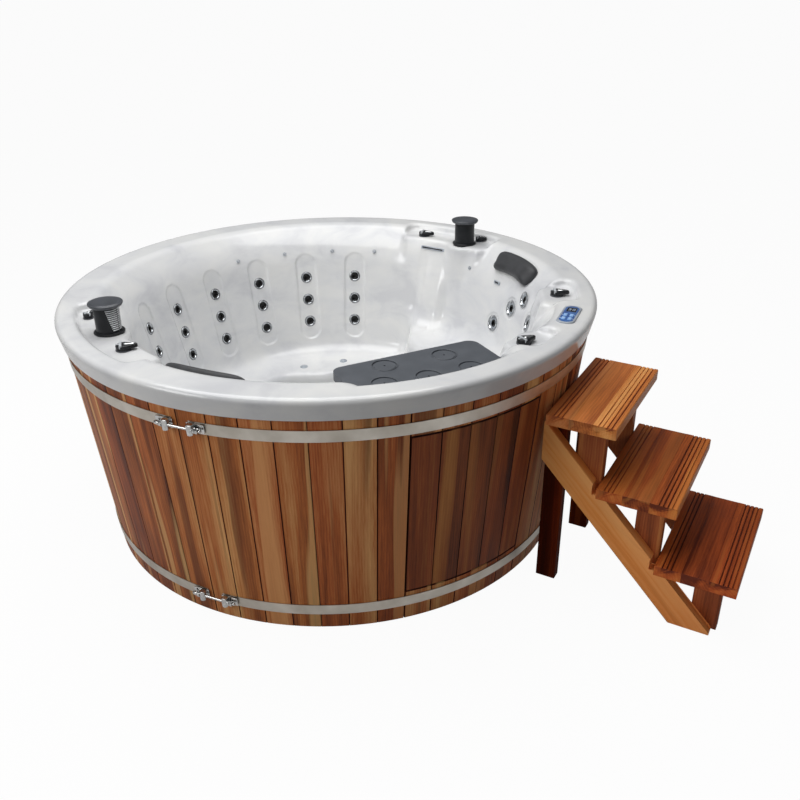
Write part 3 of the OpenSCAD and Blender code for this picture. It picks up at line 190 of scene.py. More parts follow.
def marbled_acrylic():
    """Vacuum-formed cast acrylic. The eye sees a glossy white sheet with soft grey-lilac
    clouds in its depth, and reflections softened by a slight orange peel."""
    mat, surface = finish("marbled_acrylic", Roughness=0.16, IOR=1.49, Coat_Weight=0.2,
                          Coat_Roughness=0.06)
    # the marbling's clouds are about 180 mm across, and swell and fade over 500 mm
    cloud = add(mat, "ShaderNodeTexNoise", {"Scale": 1.0, "Detail": 4.0, "Roughness": 0.55,
                                            "Distortion": 0.5},
                {"Vector": millimetres(mat, 180, (1.0, 1.0, 0.6))})
    wide = add(mat, "ShaderNodeTexNoise", {"Scale": 1.0, "Detail": 1.0},
               {"Vector": millimetres(mat, 500)})
    veins = add(mat, "ShaderNodeValToRGB", links={"Fac": cloud.outputs["Fac"]},
                stops=[(0.32, "#c9cace"), (0.46, "#dcddde"), (0.62, "#e7e7e5")])
    shade = add(mat, "ShaderNodeValToRGB", links={"Fac": wide.outputs["Fac"]},
                stops=[(0.35, "#d9dadd"), (0.65, "#e9e9e8")])
    body = add(mat, "ShaderNodeMix", {0: 0.4}, {6: veins.outputs[0], 7: shade.outputs[0]},
               data_type="RGBA")
    join(mat, body.outputs[2], surface, "Base Color")
    # fine orange peel of the formed sheet, about 9 mm across
    peel = add(mat, "ShaderNodeTexNoise", {"Scale": 1.0, "Detail": 1.0},
               {"Vector": millimetres(mat, 9)})
    bump = add(mat, "ShaderNodeBump", {"Strength": 0.05, "Distance": 0.0006},
               {"Height": peel.outputs["Fac"]})
    join(mat, bump.outputs[0], surface, "Normal")
    return mat


def oiled_cedar(name, dark, middle, light, roughness=0.5, sheen=0.22, banding=1.0):
    """Planed and oiled red cedar. The eye sees a satin board whose colour runs in long
    streaks, with pale sapwood and dark heartwood side by side, and fine dark fibres.

    A board carries two attributes: grain, its place in the plank in metres (across, along,
    through), and tone, from 0, dark heartwood, to 1, pale sapwood. Below 0 is painted shade.
    sheen is how strongly the oil shines, and banding how plainly sapwood stands out."""
    mat, surface = finish(name, Roughness=roughness, IOR=1.5, Specular_IOR_Level=sheen)
    plank = add(mat, "ShaderNodeAttribute", attribute_name="grain").outputs["Vector"]
    tone = add(mat, "ShaderNodeAttribute", attribute_name="tone").outputs["Fac"]
    # the long wandering figures of growth rings 9 mm apart: a wave's period in metres is
    # pi / 10 over its scale
    sway = add(mat, "ShaderNodeTexNoise", {"Scale": 1.0, "Detail": 2.0},
               {"Vector": millimetres(mat, 80, (1, 9, 1), plank)})
    bent = add(mat, "ShaderNodeVectorMath", {"Scale": 0.03}, {0: sway.outputs["Color"]},
               operation="SCALE")
    place = add(mat, "ShaderNodeVectorMath", None, {0: plank, 1: bent.outputs[0]},
                operation="ADD")
    rings = add(mat, "ShaderNodeTexWave",
                {"Scale": 35.0, "Distortion": 2.2, "Detail": 2.0, "Detail Scale": 0.6},
                {"Vector": place.outputs[0]}, wave_type="RINGS", rings_direction="Y",
                wave_profile="SAW")
    # streaks of colour about 45 mm wide run nearly the whole length of a board
    streak = add(mat, "ShaderNodeTexNoise", {"Scale": 1.0, "Detail": 3.0, "Roughness": 0.5},
                 {"Vector": millimetres(mat, 45, (1, 24, 1), place.outputs[0])})
    # fibres are finer than a millimetre and drawn 2.5 mm wide so that they show, and the
    # flecks of resin are 6 mm wide
    fibre = add(mat, "ShaderNodeTexNoise", {"Scale": 1.0, "Detail": 2.0},
                {"Vector": millimetres(mat, 2.5, (1, 50, 1), plank)})
    fleck = add(mat, "ShaderNodeTexNoise", {"Scale": 1.0, "Detail": 3.0, "Roughness": 0.7},
                {"Vector": millimetres(mat, 6, (1, 14, 1), plank)})
    # each pattern moves the board's own tone up and down by its weight
    level = tone
    for source, weight in ((streak, 1.3), (rings, 0.13), (fibre, 0.2), (fleck, 0.34)):
        shifted = add(mat, "ShaderNodeMath", {1: 0.5}, {0: source.outputs["Fac"]},
                      operation="SUBTRACT")
        level = add(mat, "ShaderNodeMath", {1: weight}, {0: shifted.outputs[0], 2: level},
                    operation="MULTIPLY_ADD").outputs[0]
    colour = add(mat, "ShaderNodeValToRGB", links={"Fac": level},
                 stops=[(0.02, dark), (0.45, middle), (0.95, light)])
    # pale sapwood and dark heartwood bands with firm edges, 20 to 40 mm wide, on some boards
    band = add(mat, "ShaderNodeTexNoise", {"Scale": 1.0, "Detail": 1.0, "Roughness": 0.4},
               {"Vector": millimetres(mat, 62, (1, 36, 1), place.outputs[0])})
    shown = colour.outputs[0]
    for stain, start, full, most in ((light, 0.595, 0.63, 0.62), (dark, 0.40, 0.35, 0.55)):
        share = add(mat, "ShaderNodeMapRange",
                    {"From Min": start, "From Max": full, "To Max": most * banding},
                    {"Value": band.outputs["Fac"]})
        shown = add(mat, "ShaderNodeMix", {7: linear(stain)}, {0: share.outputs[0], 6: shown},
                    data_type="RGBA").outputs[2]
    # each board leans a little to red or to brown
    cast = add(mat, "ShaderNodeTexNoise", {"Scale": 1.0, "Detail": 0.0},
               {"Vector": millimetres(mat, 700, (1, 3, 1), plank)})
    tint = add(mat, "ShaderNodeValToRGB", links={"Fac": cast.outputs["Fac"]},
               stops=[(0.35, "#fff0dc"), (0.65, "#f4c4ae")])
    body = add(mat, "ShaderNodeMix", {0: 0.75}, {6: shown, 7: tint.outputs[0]},
               data_type="RGBA", blend_type="MULTIPLY")
    join(mat, body.outputs[2], surface, "Base Color")
    # the plane leaves fibres and late wood a little proud, and resin shines
    height = add(mat, "ShaderNodeMath", {1: 0.5},
                 {0: rings.outputs["Fac"], 2: fibre.outputs["Fac"]}, operation="MULTIPLY_ADD")
    bump = add(mat, "ShaderNodeBump", {"Strength": 0.2, "Distance": 0.0006},
               {"Height": height.outputs[0]})
    join(mat, bump.outputs[0], surface, "Normal")
    gloss = add(mat, "ShaderNodeMapRange", {"To Min": roughness - 0.12, "To Max": roughness + 0.14},
                {"Value": fleck.outputs["Fac"]})
    join(mat, gloss.outputs[0], surface, "Roughness")
    return mat


def brushed_stainless():
    """Satin-ground stainless strap of the hoops. The eye sees a dull warm grey band with
    grinding lines round the tub, which smear each highlight across them."""
    mat, surface = finish("brushed_stainless", Metallic=1.0)
    # azimuth and height are the strap's own two directions
    place = add(mat, "ShaderNodeTexCoord").outputs["Object"]
    axis = add(mat, "ShaderNodeSeparateXYZ", None, {0: place})
    angle = add(mat, "ShaderNodeMath", None, {0: axis.outputs[1], 1: axis.outputs[0]},
                operation="ARCTAN2")
    lines = add(mat, "ShaderNodeCombineXYZ", None, {0: angle.outputs[0], 2: axis.outputs[2]})
    # grinding lines are about 0.3 mm apart and drawn 1.2 mm, 1 / 830 m, apart so that they
    # show; each is 22 mm long, 1 / 45 of a radian
    ground = add(mat, "ShaderNodeMapping", {"Scale": (45.0, 1.0, 830.0)},
                 {"Vector": lines.outputs[0]})
    scratch = add(mat, "ShaderNodeTexNoise", {"Scale": 1.0, "Detail": 4.0},
                  {"Vector": ground.outputs[0]})
    # water stains are about 90 mm across
    stain = add(mat, "ShaderNodeTexNoise", {"Scale": 1.0, "Detail": 3.0},
                {"Vector": millimetres(mat, 90)})
    rough = add(mat, "ShaderNodeMapRange", {"To Min": 0.34, "To Max": 0.5},
                {"Value": scratch.outputs["Fac"]})
    join(mat, rough.outputs[0], surface, "Roughness")
    tint = add(mat, "ShaderNodeValToRGB", links={"Fac": stain.outputs["Fac"]},
               stops=[(0.3, "#b8b1a6"), (0.7, "#d6d0c6")])
    join(mat, tint.outputs[0], surface, "Base Color")
    bump = add(mat, "ShaderNodeBump", {"Strength": 0.12, "Distance": 0.0003},
               {"Height": scratch.outputs["Fac"]})
    join(mat, bump.outputs[0], surface, "Normal")
    return mat


def plated_metal(name, base, low, high):
    """Polished or plated metal. The eye sees sharp reflections, dulled here and there by
    faint wiping marks. low and high are the roughness of clean and of hazed metal."""
    mat, surface = finish(name, Metallic=1.0)
    # handling haze comes and goes over 12 mm
    haze = add(mat, "ShaderNodeTexNoise", {"Scale": 1.0, "Detail": 4.0, "Roughness": 0.65},
               {"Vector": millimetres(mat, 12)})
    rough = add(mat, "ShaderNodeMapRange", {"To Min": low, "To Max": high},
                {"Value": haze.outputs["Fac"]})
    join(mat, rough.outputs[0], surface, "Roughness")
    tint = add(mat, "ShaderNodeValToRGB", links={"Fac": haze.outputs["Fac"]},
               stops=[(0.35, base[0]), (0.7, base[1])])
    join(mat, tint.outputs[0], surface, "Base Color")
    return mat


def moulded_plastic(name, base, low, high, grain=0.9, depth=0.00008, coat=0.0, size=60,
                    shine=0.5):
    """Injection-moulded plastic. The eye sees a highlight broken up by the mould's
    spark-eroded grain, and slow changes of tone.

    low and high are the least and most roughness. grain and size, in millimetres, are how far
    apart the pits are and how wide the changes of tone, and depth, in metres, is the pits'.
    coat is a wet-looking top coat, and shine how strongly the plastic under it reflects."""
    mat, surface = finish(name, IOR=1.46, Coat_Weight=coat, Coat_Roughness=0.12,
                          Specular_IOR_Level=shine)
    pits = add(mat, "ShaderNodeTexVoronoi", {"Scale": 1.0},
               {"Vector": millimetres(mat, grain)}, feature="SMOOTH_F1")
    cloud = add(mat, "ShaderNodeTexNoise", {"Scale": 1.0, "Detail": 4.0, "Roughness": 0.6},
                {"Vector": millimetres(mat, size)})
    tint = add(mat, "ShaderNodeValToRGB", links={"Fac": cloud.outputs["Fac"]},
               stops=[(0.3, base[0]), (0.7, base[1])])
    join(mat, tint.outputs[0], surface, "Base Color")
    rough = add(mat, "ShaderNodeMapRange", {"To Min": low, "To Max": high},
                {"Value": cloud.outputs["Fac"]})
    join(mat, rough.outputs[0], surface, "Roughness")
    bump = add(mat, "ShaderNodeBump", {"Strength": 0.5, "Distance": depth},
               {"Height": pits.outputs["Distance"]})
    join(mat, bump.outputs[0], surface, "Normal")
    return mat


def birch_plywood():
    """Sawn birch plywood of the hidden frame. The eye sees pale faces, and on the edges a
    light and a dark veneer by turns."""
    mat, surface = finish("birch_plywood", Roughness=0.7)
    # veneers 2 mm thick make a pair every 4 mm: a wave's period in metres is pi / 10 over
    # its scale
    ply = add(mat, "ShaderNodeTexWave", {"Scale": 78.0, "Distortion": 0.6, "Detail": 2.0},
              {"Vector": add(mat, "ShaderNodeTexCoord").outputs["Object"]},
              bands_direction="Z")
    # the rotary-cut face has streaks about 14 mm wide
    figure = add(mat, "ShaderNodeTexNoise", {"Scale": 1.0, "Detail": 5.0},
                 {"Vector": millimetres(mat, 14, (1, 7, 1))})
    level = add(mat, "ShaderNodeMath", {1: 0.35},
                {0: ply.outputs["Fac"], 2: figure.outputs["Fac"]}, operation="MULTIPLY_ADD")
    colour = add(mat, "ShaderNodeValToRGB", links={"Fac": level.outputs[0]},
                 stops=[(0.3, "#a98255"), (0.6, "#cfae7c"), (0.9, "#dcc394")])
    join(mat, colour.outputs[0], surface, "Base Color")
    bump = add(mat, "ShaderNodeBump", {"Strength": 0.2, "Distance": 0.0004},
               {"Height": figure.outputs["Fac"]})
    join(mat, bump.outputs[0], surface, "Normal")
    return mat


def pleated_filter():
    """Spun polyester filter cloth. The eye sees dull white felt, folded into pleats about
    7 mm apart, with grey painted shade in the folds."""
    mat, surface = finish("pleated_filter", Roughness=0.85, Sheen_Weight=0.3)
    # diagonal bands are pi / 5 metres over the scale and over root 3 apart
    place = add(mat, "ShaderNodeTexCoord").outputs["Object"]
    pleat = add(mat, "ShaderNodeTexWave", {"Scale": 52.0, "Distortion": 0.3},
                {"Vector": place}, bands_direction="DIAGONAL")
    # the ramp paints grey shade into the folds of the pleats
    colour = add(mat, "ShaderNodeValToRGB", links={"Fac": pleat.outputs["Fac"]},
                 stops=[(0.0, "#b9c0c4"), (0.5, "#e3e6e6"), (1.0, "#f1f1ee")])
    join(mat, colour.outputs[0], surface, "Base Color")
    bump = add(mat, "ShaderNodeBump", {"Strength": 0.6, "Distance": 0.002},
               {"Height": pleat.outputs["Fac"]})
    join(mat, bump.outputs[0], surface, "Normal")
    return mat


def foam_skin():
    """Self-skinned polyurethane foam of the head pillows, moulded in one. The eye sees soft
    charcoal with a dull, wide highlight and fine pores."""
    mat, surface = finish("foam_skin", Roughness=0.55, Sheen_Weight=0.12,
                          Sheen_Roughness=0.5)
    # skin pores 1.2 mm apart, and a bloom of lighter grey over 45 mm
    pores = add(mat, "ShaderNodeTexVoronoi", {"Scale": 1.0},
                {"Vector": millimetres(mat, 1.2)})
    bloom = add(mat, "ShaderNodeTexNoise", {"Scale": 1.0, "Detail": 4.0},
                {"Vector": millimetres(mat, 45)})
    colour = add(mat, "ShaderNodeValToRGB", links={"Fac": bloom.outputs["Fac"]},
                 stops=[(0.3, "#27282b"), (0.7, "#36373a")])
    join(mat, colour.outputs[0], surface, "Base Color")
    bump = add(mat, "ShaderNodeBump", {"Strength": 0.35, "Distance": 0.0002},
               {"Height": pores.outputs["Distance"]})
    join(mat, bump.outputs[0], surface, "Normal")
    return mat


def clear_lens():
    """Moulded clear polycarbonate of the light lenses. The eye sees a small glossy dome
    with something milky white behind it."""
    mat, surface = finish("clear_lens", Roughness=0.08, IOR=1.58, Transmission_Weight=0.25)
    # the diffuser behind the dome clouds over about 4 mm
    milk = add(mat, "ShaderNodeTexNoise", {"Scale": 1.0, "Detail": 2.0},
               {"Vector": millimetres(mat, 4)})
    colour = add(mat, "ShaderNodeValToRGB", links={"Fac": milk.outputs["Fac"]},
                 stops=[(0.3, "#a8adb3"), (0.7, "#c8ccd0")])
    join(mat, colour.outputs[0], surface, "Base Color")
    return mat


# the sheet that the shell is formed from
ACRYLIC = marbled_acrylic()

# one timber, planed and oiled. Staves show the full run from brown heartwood to straw sapwood.
# The panel and uprights are cut from plainer heartwood, and are darker and redder with painted
# shade. The top tread is brighter and golden, the other two are red, the stringers are of pale
# honey wood, and the rear legs are nearly black, painted shade for the dark behind the steps.
CEDAR = oiled_cedar("oiled_cedar", "#4f200b", "#c67a45", "#fbd092")
PANEL_CEDAR = oiled_cedar("shaded_cedar", "#3d1808", "#9d5830", "#cf9658", 0.5, 0.22, 0.4)
TREAD_CEDAR = oiled_cedar("bright_cedar", "#8a4322", "#e0904c", "#fbc27c", 0.42, 0.22, 0.5)
RED_CEDAR = oiled_cedar("red_cedar", "#62280d", "#b9622d", "#dc944c", 0.45, 0.22, 0.5)
HONEY_CEDAR = oiled_cedar("honey_cedar", "#bd7a3a", "#e79f55", "#f6c482", 0.55, 0.22, 0.5)
# the rear legs' near-black cedar is painted shade
LEG_SHADE_CEDAR = oiled_cedar("dark_cedar", "#260b02", "#5c240b", "#8a4a22", 0.62, 0.04)

# steel: ground strap is dull and warm, turned and polished bolts mirror the dark staves
STRAP = brushed_stainless()
BRIGHT = plated_metal("polished_stainless", ("#b9b9b8", "#dcdcda"), 0.12, 0.26)

# chrome on plastic: the levers' ovals mirror sharply, the grilles are satin and read as pale
# stripes, and the jets' rings are a grey chrome, painted shade that outlines them against the white
# wall
CHROME = plated_metal("chrome_plate", ("#d2d4d6", "#eef0f1"), 0.05, 0.14)
SATIN = plated_metal("satin_chrome_plate", ("#dcdedf", "#f2f3f4"), 0.26, 0.36)
GREY_CHROME = plated_metal("shade_grey_chrome_plate", ("#a3a6a9", "#c6c9cc"), 0.12, 0.24)

# moulded ABS in black and greys. Collars and knobs are soft black, the speakers' caps are
# charcoal, lighter than the towers, the nozzles are deep black holes, the cover is a coarse-grained
# slate, gaskets are dark grey, and knob yokes pale grey with a wet-looking top coat
BLACK_ABS = moulded_plastic("black_abs", ("#191a1c", "#27292c"), 0.3, 0.44, coat=0.06, shine=0.3)
CAP_ABS = moulded_plastic("charcoal_abs", ("#3c3f44", "#4d5056"), 0.3, 0.42, coat=0.2)
BLACK_GLOSS = moulded_plastic("black_nozzle_abs", ("#0b0b0c", "#161617"), 0.2, 0.34)
PLATE_ABS = moulded_plastic("grey_plate_abs", ("#4f5359", "#595d63"), 0.34, 0.46, 1.6, 0.0002)
DARK_ABS = moulded_plastic("dark_grey_abs", ("#474a4f", "#55585d"), 0.35, 0.5)
PALE_ABS = moulded_plastic("pale_grey_abs", ("#b4b8bc", "#c6cacd"), 0.25, 0.38, coat=0.2)

# control panel: a bezel sprayed with silver lacquer, a window of polished blue acrylic whose
# colour pools over 36 mm, printed inks that lie matt on it, and dull silicone keys
SILVER = moulded_plastic("silver_lacquered_abs", ("#9aa1ab", "#b3bac2"), 0.22, 0.34, coat=0.4)
WINDOW = moulded_plastic("blue_window_acrylic", ("#2d4f92", "#4a78b8"), 0.06, 0.14, coat=0.5,
                         size=36)
GLYPH = moulded_plastic("pale_blue_ink", ("#c9dcf2", "#e2ecf8"), 0.3, 0.4)
INK = moulded_plastic("black_display_ink", ("#0c0f16", "#141a26"), 0.1, 0.2, coat=0.4)
KEY_BLUE = moulded_plastic("blue_key_silicone", ("#6fa0dc", "#8db8ea"), 0.35, 0.5)

# inside the skirt: extruded PVC pipe is smooth and off-white, rubber hose is dull with its
# cords showing 3 mm apart, motor enamel is sprayed blue-grey with an orange peel, and the
# formed polyethylene pan is a waxy black
PIPE = moulded_plastic("white_pvc_pipe", ("#d6d6d2", "#e4e4e1"), 0.3, 0.42)
HOSE = moulded_plastic("ribbed_rubber_hose", ("#1e2023", "#2c2e31"), 0.55, 0.7, 3.0, 0.0006)
PAINT = moulded_plastic("motor_enamel", ("#353c46", "#424a55"), 0.35, 0.5, 1.4, 0.0002)
PAN = moulded_plastic("black_hdpe_pan", ("#1d1e20", "#2a2b2d"), 0.45, 0.6, 2.0, 0.0002)
PLYWOOD = birch_plywood()
FILTER = pleated_filter()
FOAM = foam_skin()
LENS = clear_lens()


# ---------------------------------------------------------------- making pieces

class Piece:
    """A piece made up of several shapes, each with its own finish."""

    def __init__(self, name):
        self.name = name
        self.points, self.faces, self.which, self.finishes = [], [], [], []
        self.grain, self.tone = [], []

    def put(self, shape, material, place=None, grain=None, tone=None):
        """Adds a shape at a place. Wood also has its grain and tone at each point."""
        points, faces = shape
        if place is not None:
            points = [place @ Vector(p) for p in points]
        if material not in self.finishes:
            self.finishes.append(material)
        start = len(self.points)
        self.points += [tuple(p) for p in points]
        self.faces += [[start + i for i in f] for f in faces]
        self.which += [self.finishes.index(material)] * len(faces)
        self.grain += grain or [(0.0, 0.0, 0.0)] * len(points)
        self.tone += tone or [0.5] * len(points)
        return self

    def done(self, body, *nodes, slot, edge=32):
        """Makes the object, which rides on a body and replaces nodes. Faces that meet at more
        than edge degrees keep a sharp edge."""
        mesh = bpy.data.meshes.new(self.name)
        mesh.from_pydata(self.points, [], self.faces)
        for material in self.finishes:
            mesh.materials.append(material)
        mesh.polygons.foreach_set("material_index", self.which)
        mesh.polygons.foreach_set("use_smooth", [True] * len(self.faces))
        if any(g != (0.0, 0.0, 0.0) for g in self.grain):
            grain = mesh.attributes.new("grain", "FLOAT_VECTOR", "POINT")
            grain.data.foreach_set("vector", [c for g in self.grain for c in g])
            tone = mesh.attributes.new("tone", "FLOAT", "POINT")
            tone.data.foreach_set("value", self.tone)
        mesh.validate()
        mesh.update()
        mesh.set_sharp_from_angle(angle=math.radians(edge))
        obj = bpy.data.objects.new(self.name, mesh)
        bpy.context.scene.collection.objects.link(obj)
        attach(obj, body)
        if nodes:
            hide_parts(*nodes)
        return obj


def turned(profile, n=48, closed=False):
    """Solid of revolution about Z from (radius, height) points. A radius of 0 ends on the axis."""
    points, faces, rows = [], [], []
    for r, z in profile:
        if r < 1e-7:
            rows.append([len(points)] * n)
            points.append((0.0, 0.0, z))
        else:
            rows.append(list(range(len(points), len(points) + n)))
            points += [(r * math.cos(2 * math.pi * i / n), r * math.sin(2 * math.pi * i / n), z)
                       for i in range(n)]
    pairs = list(zip(rows, rows[1:] + rows[:1])) if closed else list(zip(rows, rows[1:]))
    for low, high in pairs:
        for i in range(n):
            j = (i + 1) % n
            quad = [low[i], low[j], high[j], high[i]]
            trim = [v for k, v in enumerate(quad) if v != quad[k - 1]]
            if len(trim) > 2:
                faces.append(trim)
    return points, faces


def lofted(rings):
    """Skin over closed rings of equal length, with flat caps."""
    n = len(rings[0])
    points = [tuple(p) for ring in rings for p in ring]
    faces = []
    for a in range(len(rings) - 1):
        for i in range(n):
            j = (i + 1) % n
            faces.append([a * n + i, a * n + j, (a + 1) * n + j, (a + 1) * n + i])
    faces.append(list(range(n))[::-1])
    faces.append([(len(rings) - 1) * n + i for i in range(n)])
    return points, faces


def rounded_box(size, r, steps=3):
    """Box about the origin with all its edges rounded to radius r."""
    hx, hy, hz = (s / 2 for s in size)
    # height of each ring, and how far it is drawn in there
    levels = []
    for k in range(steps + 1):
        a = math.pi / 2 * k / steps
        levels.append((-hz + r - r * math.cos(a), r - r * math.sin(a)))
    levels = levels + [(-z, inset) for z, inset in levels[::-1]]
    rings = []
    for z, inset in levels:
        ring = []
        # the corners of the two flat ends keep a little of their radius
        corner = max(r - inset, r * 0.15)
        for sx, sy, start in ((1, 1, 0), (-1, 1, 90), (-1, -1, 180), (1, -1, 270)):
            for k in range(steps + 1):
                a = math.radians(start + 90 * k / steps)
                ring.append((sx * (hx - inset - corner) + corner * math.cos(a),
                             sy * (hy - inset - corner) + corner * math.sin(a), z))
        rings.append(ring)
    return lofted(rings)


def arc_bar(r, az0, az1, width, height, n=20):
    """Curved bar of eight-sided section round Z, from az0 to az1, centred on radius r."""
    # an octagon's corners stand 1.08 times as far out as its sides
    stand = 1.08
    rings = []
    for i in range(n + 1):
        a = math.radians(az0 + (az1 - az0) * i / n)
        ring = []
        for k in range(8):
            t = 2 * math.pi * (k + 0.5) / 8
            out = r + width / 2 * math.cos(t) * stand
            ring.append((out * math.cos(a), out * math.sin(a), height / 2 * math.sin(t) * stand))
        rings.append(ring)
    return lofted(rings)


# ---------------------------------------------------------------- form of the moulded shell
# Each function gives, for arrays of points, the depth in metres inside one form: above 0 is
# inside it. The forms are then joined and cut with their corners blended.

# column on the wall under the back console: where, half its width, its shoulders, how far it
# stands out, and the height that it fades out at and over. One degree of the wall is 12.6 mm.
COLUMN_AZ, COLUMN_HALF, COLUMN_SHOULDER, COLUMN_DEPTH = 51.5, 0.032, 0.056, 0.017
COLUMN_TOP, COLUMN_FADE = 0.87, 0.24
DEGREE_OF_WALL = 0.0126

# bays in the footwell's edge: how far each reaches, its azimuth and its spread in degrees
FOOT_BAYS = [(0.036, 110, 12), (0.052, 74, 11)]

# speakers: boss on the deck, and the bore under it that the tower sinks into
BOSS_R, TOWER_BORE_R, TOWER_BORE_Z = 0.067, 0.0472, 0.745

# grooves for the rows of jets, dishes for the seat jets, and the bores of both
GROOVE_L, GROOVE_R, GROOVE_DEPTH = 0.38, 0.0455, 0.006
DISH_R, DISH_DEPTH = 0.045, 0.003
JET_BORE_R, SEAT_BORE_R, BORE_DEPTH = 0.0185, 0.022, 0.03

# the skimmer's mouth in the pod: from and to along the cover's azimuth, half width and height
MOUTH_X, MOUTH_HALF, MOUTH_ROUND, MOUTH_Z, MOUTH_HALF_H = (0.55, 0.66), 0.055, 0.006, 0.742, 0.026

# radii that corners are blended over: in the hollow where two surfaces meet it is a cove, and
# on the ridge an edge
BENCH_COVE, SEAT_COVE, SEAT_TIP, SEAT_EDGE = 0.06, 0.09, 0.08, 0.05
WELL_COVE, WELL_EDGE = 0.06, 0.04
POD_COVE, POD_EDGE = 0.035, 0.014
BOSS_COVE, BOSS_EDGE = 0.03, 0.016
FLARE_END, FLARE_EDGE = 0.025, 0.035
DECK_CORNER, DECK_COVE, DECK_EDGE = 0.05, 0.016, 0.018
GROOVE_COVE, GROOVE_EDGE, DISH_ROUND = 0.008, 0.007, 0.006
MOUTH_COVE, MOUTH_EDGE, POCKET_COVE = 0.01, 0.012, 0.006
RIM_ROUND, LIP_EDGE = 0.026, 0.02

# the pocket's edge is crisp up to the first height and rolls over widely from the second on
POCKET_EDGE_ZS, POCKET_EDGES = (0.862, 0.895), (0.012, 0.055)

# a depth that is outside every form, and a radius within which azimuths mean nothing
OUTSIDE, AXIS_R = -1.0, 0.3


def soft_min(a, b, k):
    """The lesser of two depths, with the corner between them blended over k metres."""
    h = np.maximum(k - np.abs(a - b), 0) / k
    return np.minimum(a, b) - h * h * k * 0.25


def soft_max(a, b, k):
    """The greater of two depths, blended in the same way."""
    return -soft_min(-a, -b, k)


def smooth(t):
    """Eases a share from 0 to 1, level at both ends."""
    return t * t * (3 - 2 * t)


def turn_az(az, mid):
    """Azimuth as a turn from mid, from -180 to 180."""
    return (az - mid + 180) % 360 - 180


def along(x, y, az):
    """Coordinates of points in a frame turned to an azimuth."""
    c, s = math.cos(math.radians(az)), math.sin(math.radians(az))
    return x * c + y * s, y * c - x * s


def inside_rect(x, y, x0, x1, half, r):
    """Depth inside a rectangle with rounded corners."""
    dx = np.abs(x - (x0 + x1) / 2) - ((x1 - x0) / 2 - r)
    dy = np.abs(y) - (half - r)
    outside = np.hypot(np.maximum(dx, 0), np.maximum(dy, 0))
    return r - outside - np.minimum(np.maximum(dx, dy), 0)


def arc_depth(az, r, az0, az1):
    """Depth inside a sector, measured along the arc."""
    half = (az1 - az0) / 2
    return (half - np.abs(turn_az(az, (az0 + az1) / 2))) * math.pi / 180 * r


def bath_wall(az, r, z):
    """Leaning wall. A soft column stands on it beside the raised seat, and fades upwards."""
    off = np.abs(turn_az(az, COLUMN_AZ)) * DEGREE_OF_WALL
    off = np.clip((off - COLUMN_HALF) / COLUMN_SHOULDER, 0, 1)
    fade = np.clip((COLUMN_TOP - z) / COLUMN_FADE, 0, 1)
    column = COLUMN_DEPTH * (1 - smooth(off)) * smooth(fade)
    return (WALL_R + WALL_K * (z - WALL_Z) - column - r) * math.cos(WALL_TILT)


def raised_seat(x, y, z):
    """Seat higher than the bench, a wedge that narrows to the bath's middle."""
    xs, ys = along(x, y, SEAT_AZ)
    half = math.radians(SEAT_HALF)
    sides = xs * math.sin(half) - np.abs(ys) * math.cos(half)
    return soft_min(soft_min(xs - SEAT_FRONT, sides, SEAT_TIP), SEAT_Z - z, SEAT_EDGE)


def footwell(x, y, z):
    """Round well for the feet, with bays in its edge in front of the bench."""
    fx, fy = x - FOOT_X, y - FOOT_Y
    az = np.degrees(np.arctan2(fy, fx)) % 360
    edge = FOOT_R + sum(reach * np.exp(-(turn_az(az, middle) / spread) ** 2)
                        for reach, middle, spread in FOOT_BAYS)
    return soft_min(edge - np.hypot(fx, fy), z - FOOT_Z, WELL_COVE)


def filter_pod(xp, yp, z):
    """Pod that carries the filter cover. It runs on past the rim, and the fascia ends it."""
    past_rim = 1.3
    pod = inside_rect(xp, yp, COVER_X - POD_MARGIN, past_rim, COVER_HALF + POD_MARGIN,
                      COVER_ROUND + POD_MARGIN)
    return soft_min(pod, POD_TOP - z, POD_EDGE)


def rim_flare(az, r, z):
    """Flare of the wall up to the rim, in the sectors between the consoles."""
    k = (LIP_R - wall_r(FLARE_Z)) / (RIM_Z - FLARE_Z)
    flare = (wall_r(FLARE_Z) + k * (z - FLARE_Z) - r) / math.hypot(1, k)
    sectors = np.full_like(r, OUTSIDE)
    for az0, az1 in FLARES:
        sector = np.where(r > AXIS_R, arc_depth(az, r, az0, az1), OUTSIDE)
        sectors = np.maximum(sectors, sector)
    return soft_min(flare, sectors, FLARE_END)


def console(az, r, z, az0, az1):
    """Space over a console's flat deck, sunk a little below the rim."""
    deck = soft_min(DECK_R - r, arc_depth(az, r, az0, az1), DECK_CORNER)
    return soft_min(deck, z - DECK_Z, DECK_COVE)


def jet_recesses(space, x, y, z, wall):
    """Cuts a groove round each row of small jets, and the bore of each jet."""
    straight = (GROOVE_L / math.cos(WALL_TILT) - 2 * GROOVE_R) / 2
    for az in JET_AZS:
        out, side = along(x, y, az)
        up = (out - WALL_R) * math.sin(WALL_TILT) + (z - WALL_Z) * math.cos(WALL_TILT)
        groove = GROOVE_R - np.hypot(np.maximum(np.abs(up) - straight, 0), side)
        groove = np.where(out > 0, groove, OUTSIDE)
        groove = soft_min(groove, wall + GROOVE_DEPTH, GROOVE_COVE)
        space = soft_max(space, groove, GROOVE_EDGE)
        for jet_z in JET_ZS:
            bore = JET_BORE_R - np.hypot(up - (jet_z - WALL_Z) / math.cos(WALL_TILT), side)
            bore = np.where(out > 0, np.minimum(bore, wall + BORE_DEPTH), OUTSIDE)
            space = np.maximum(space, bore)
    return space


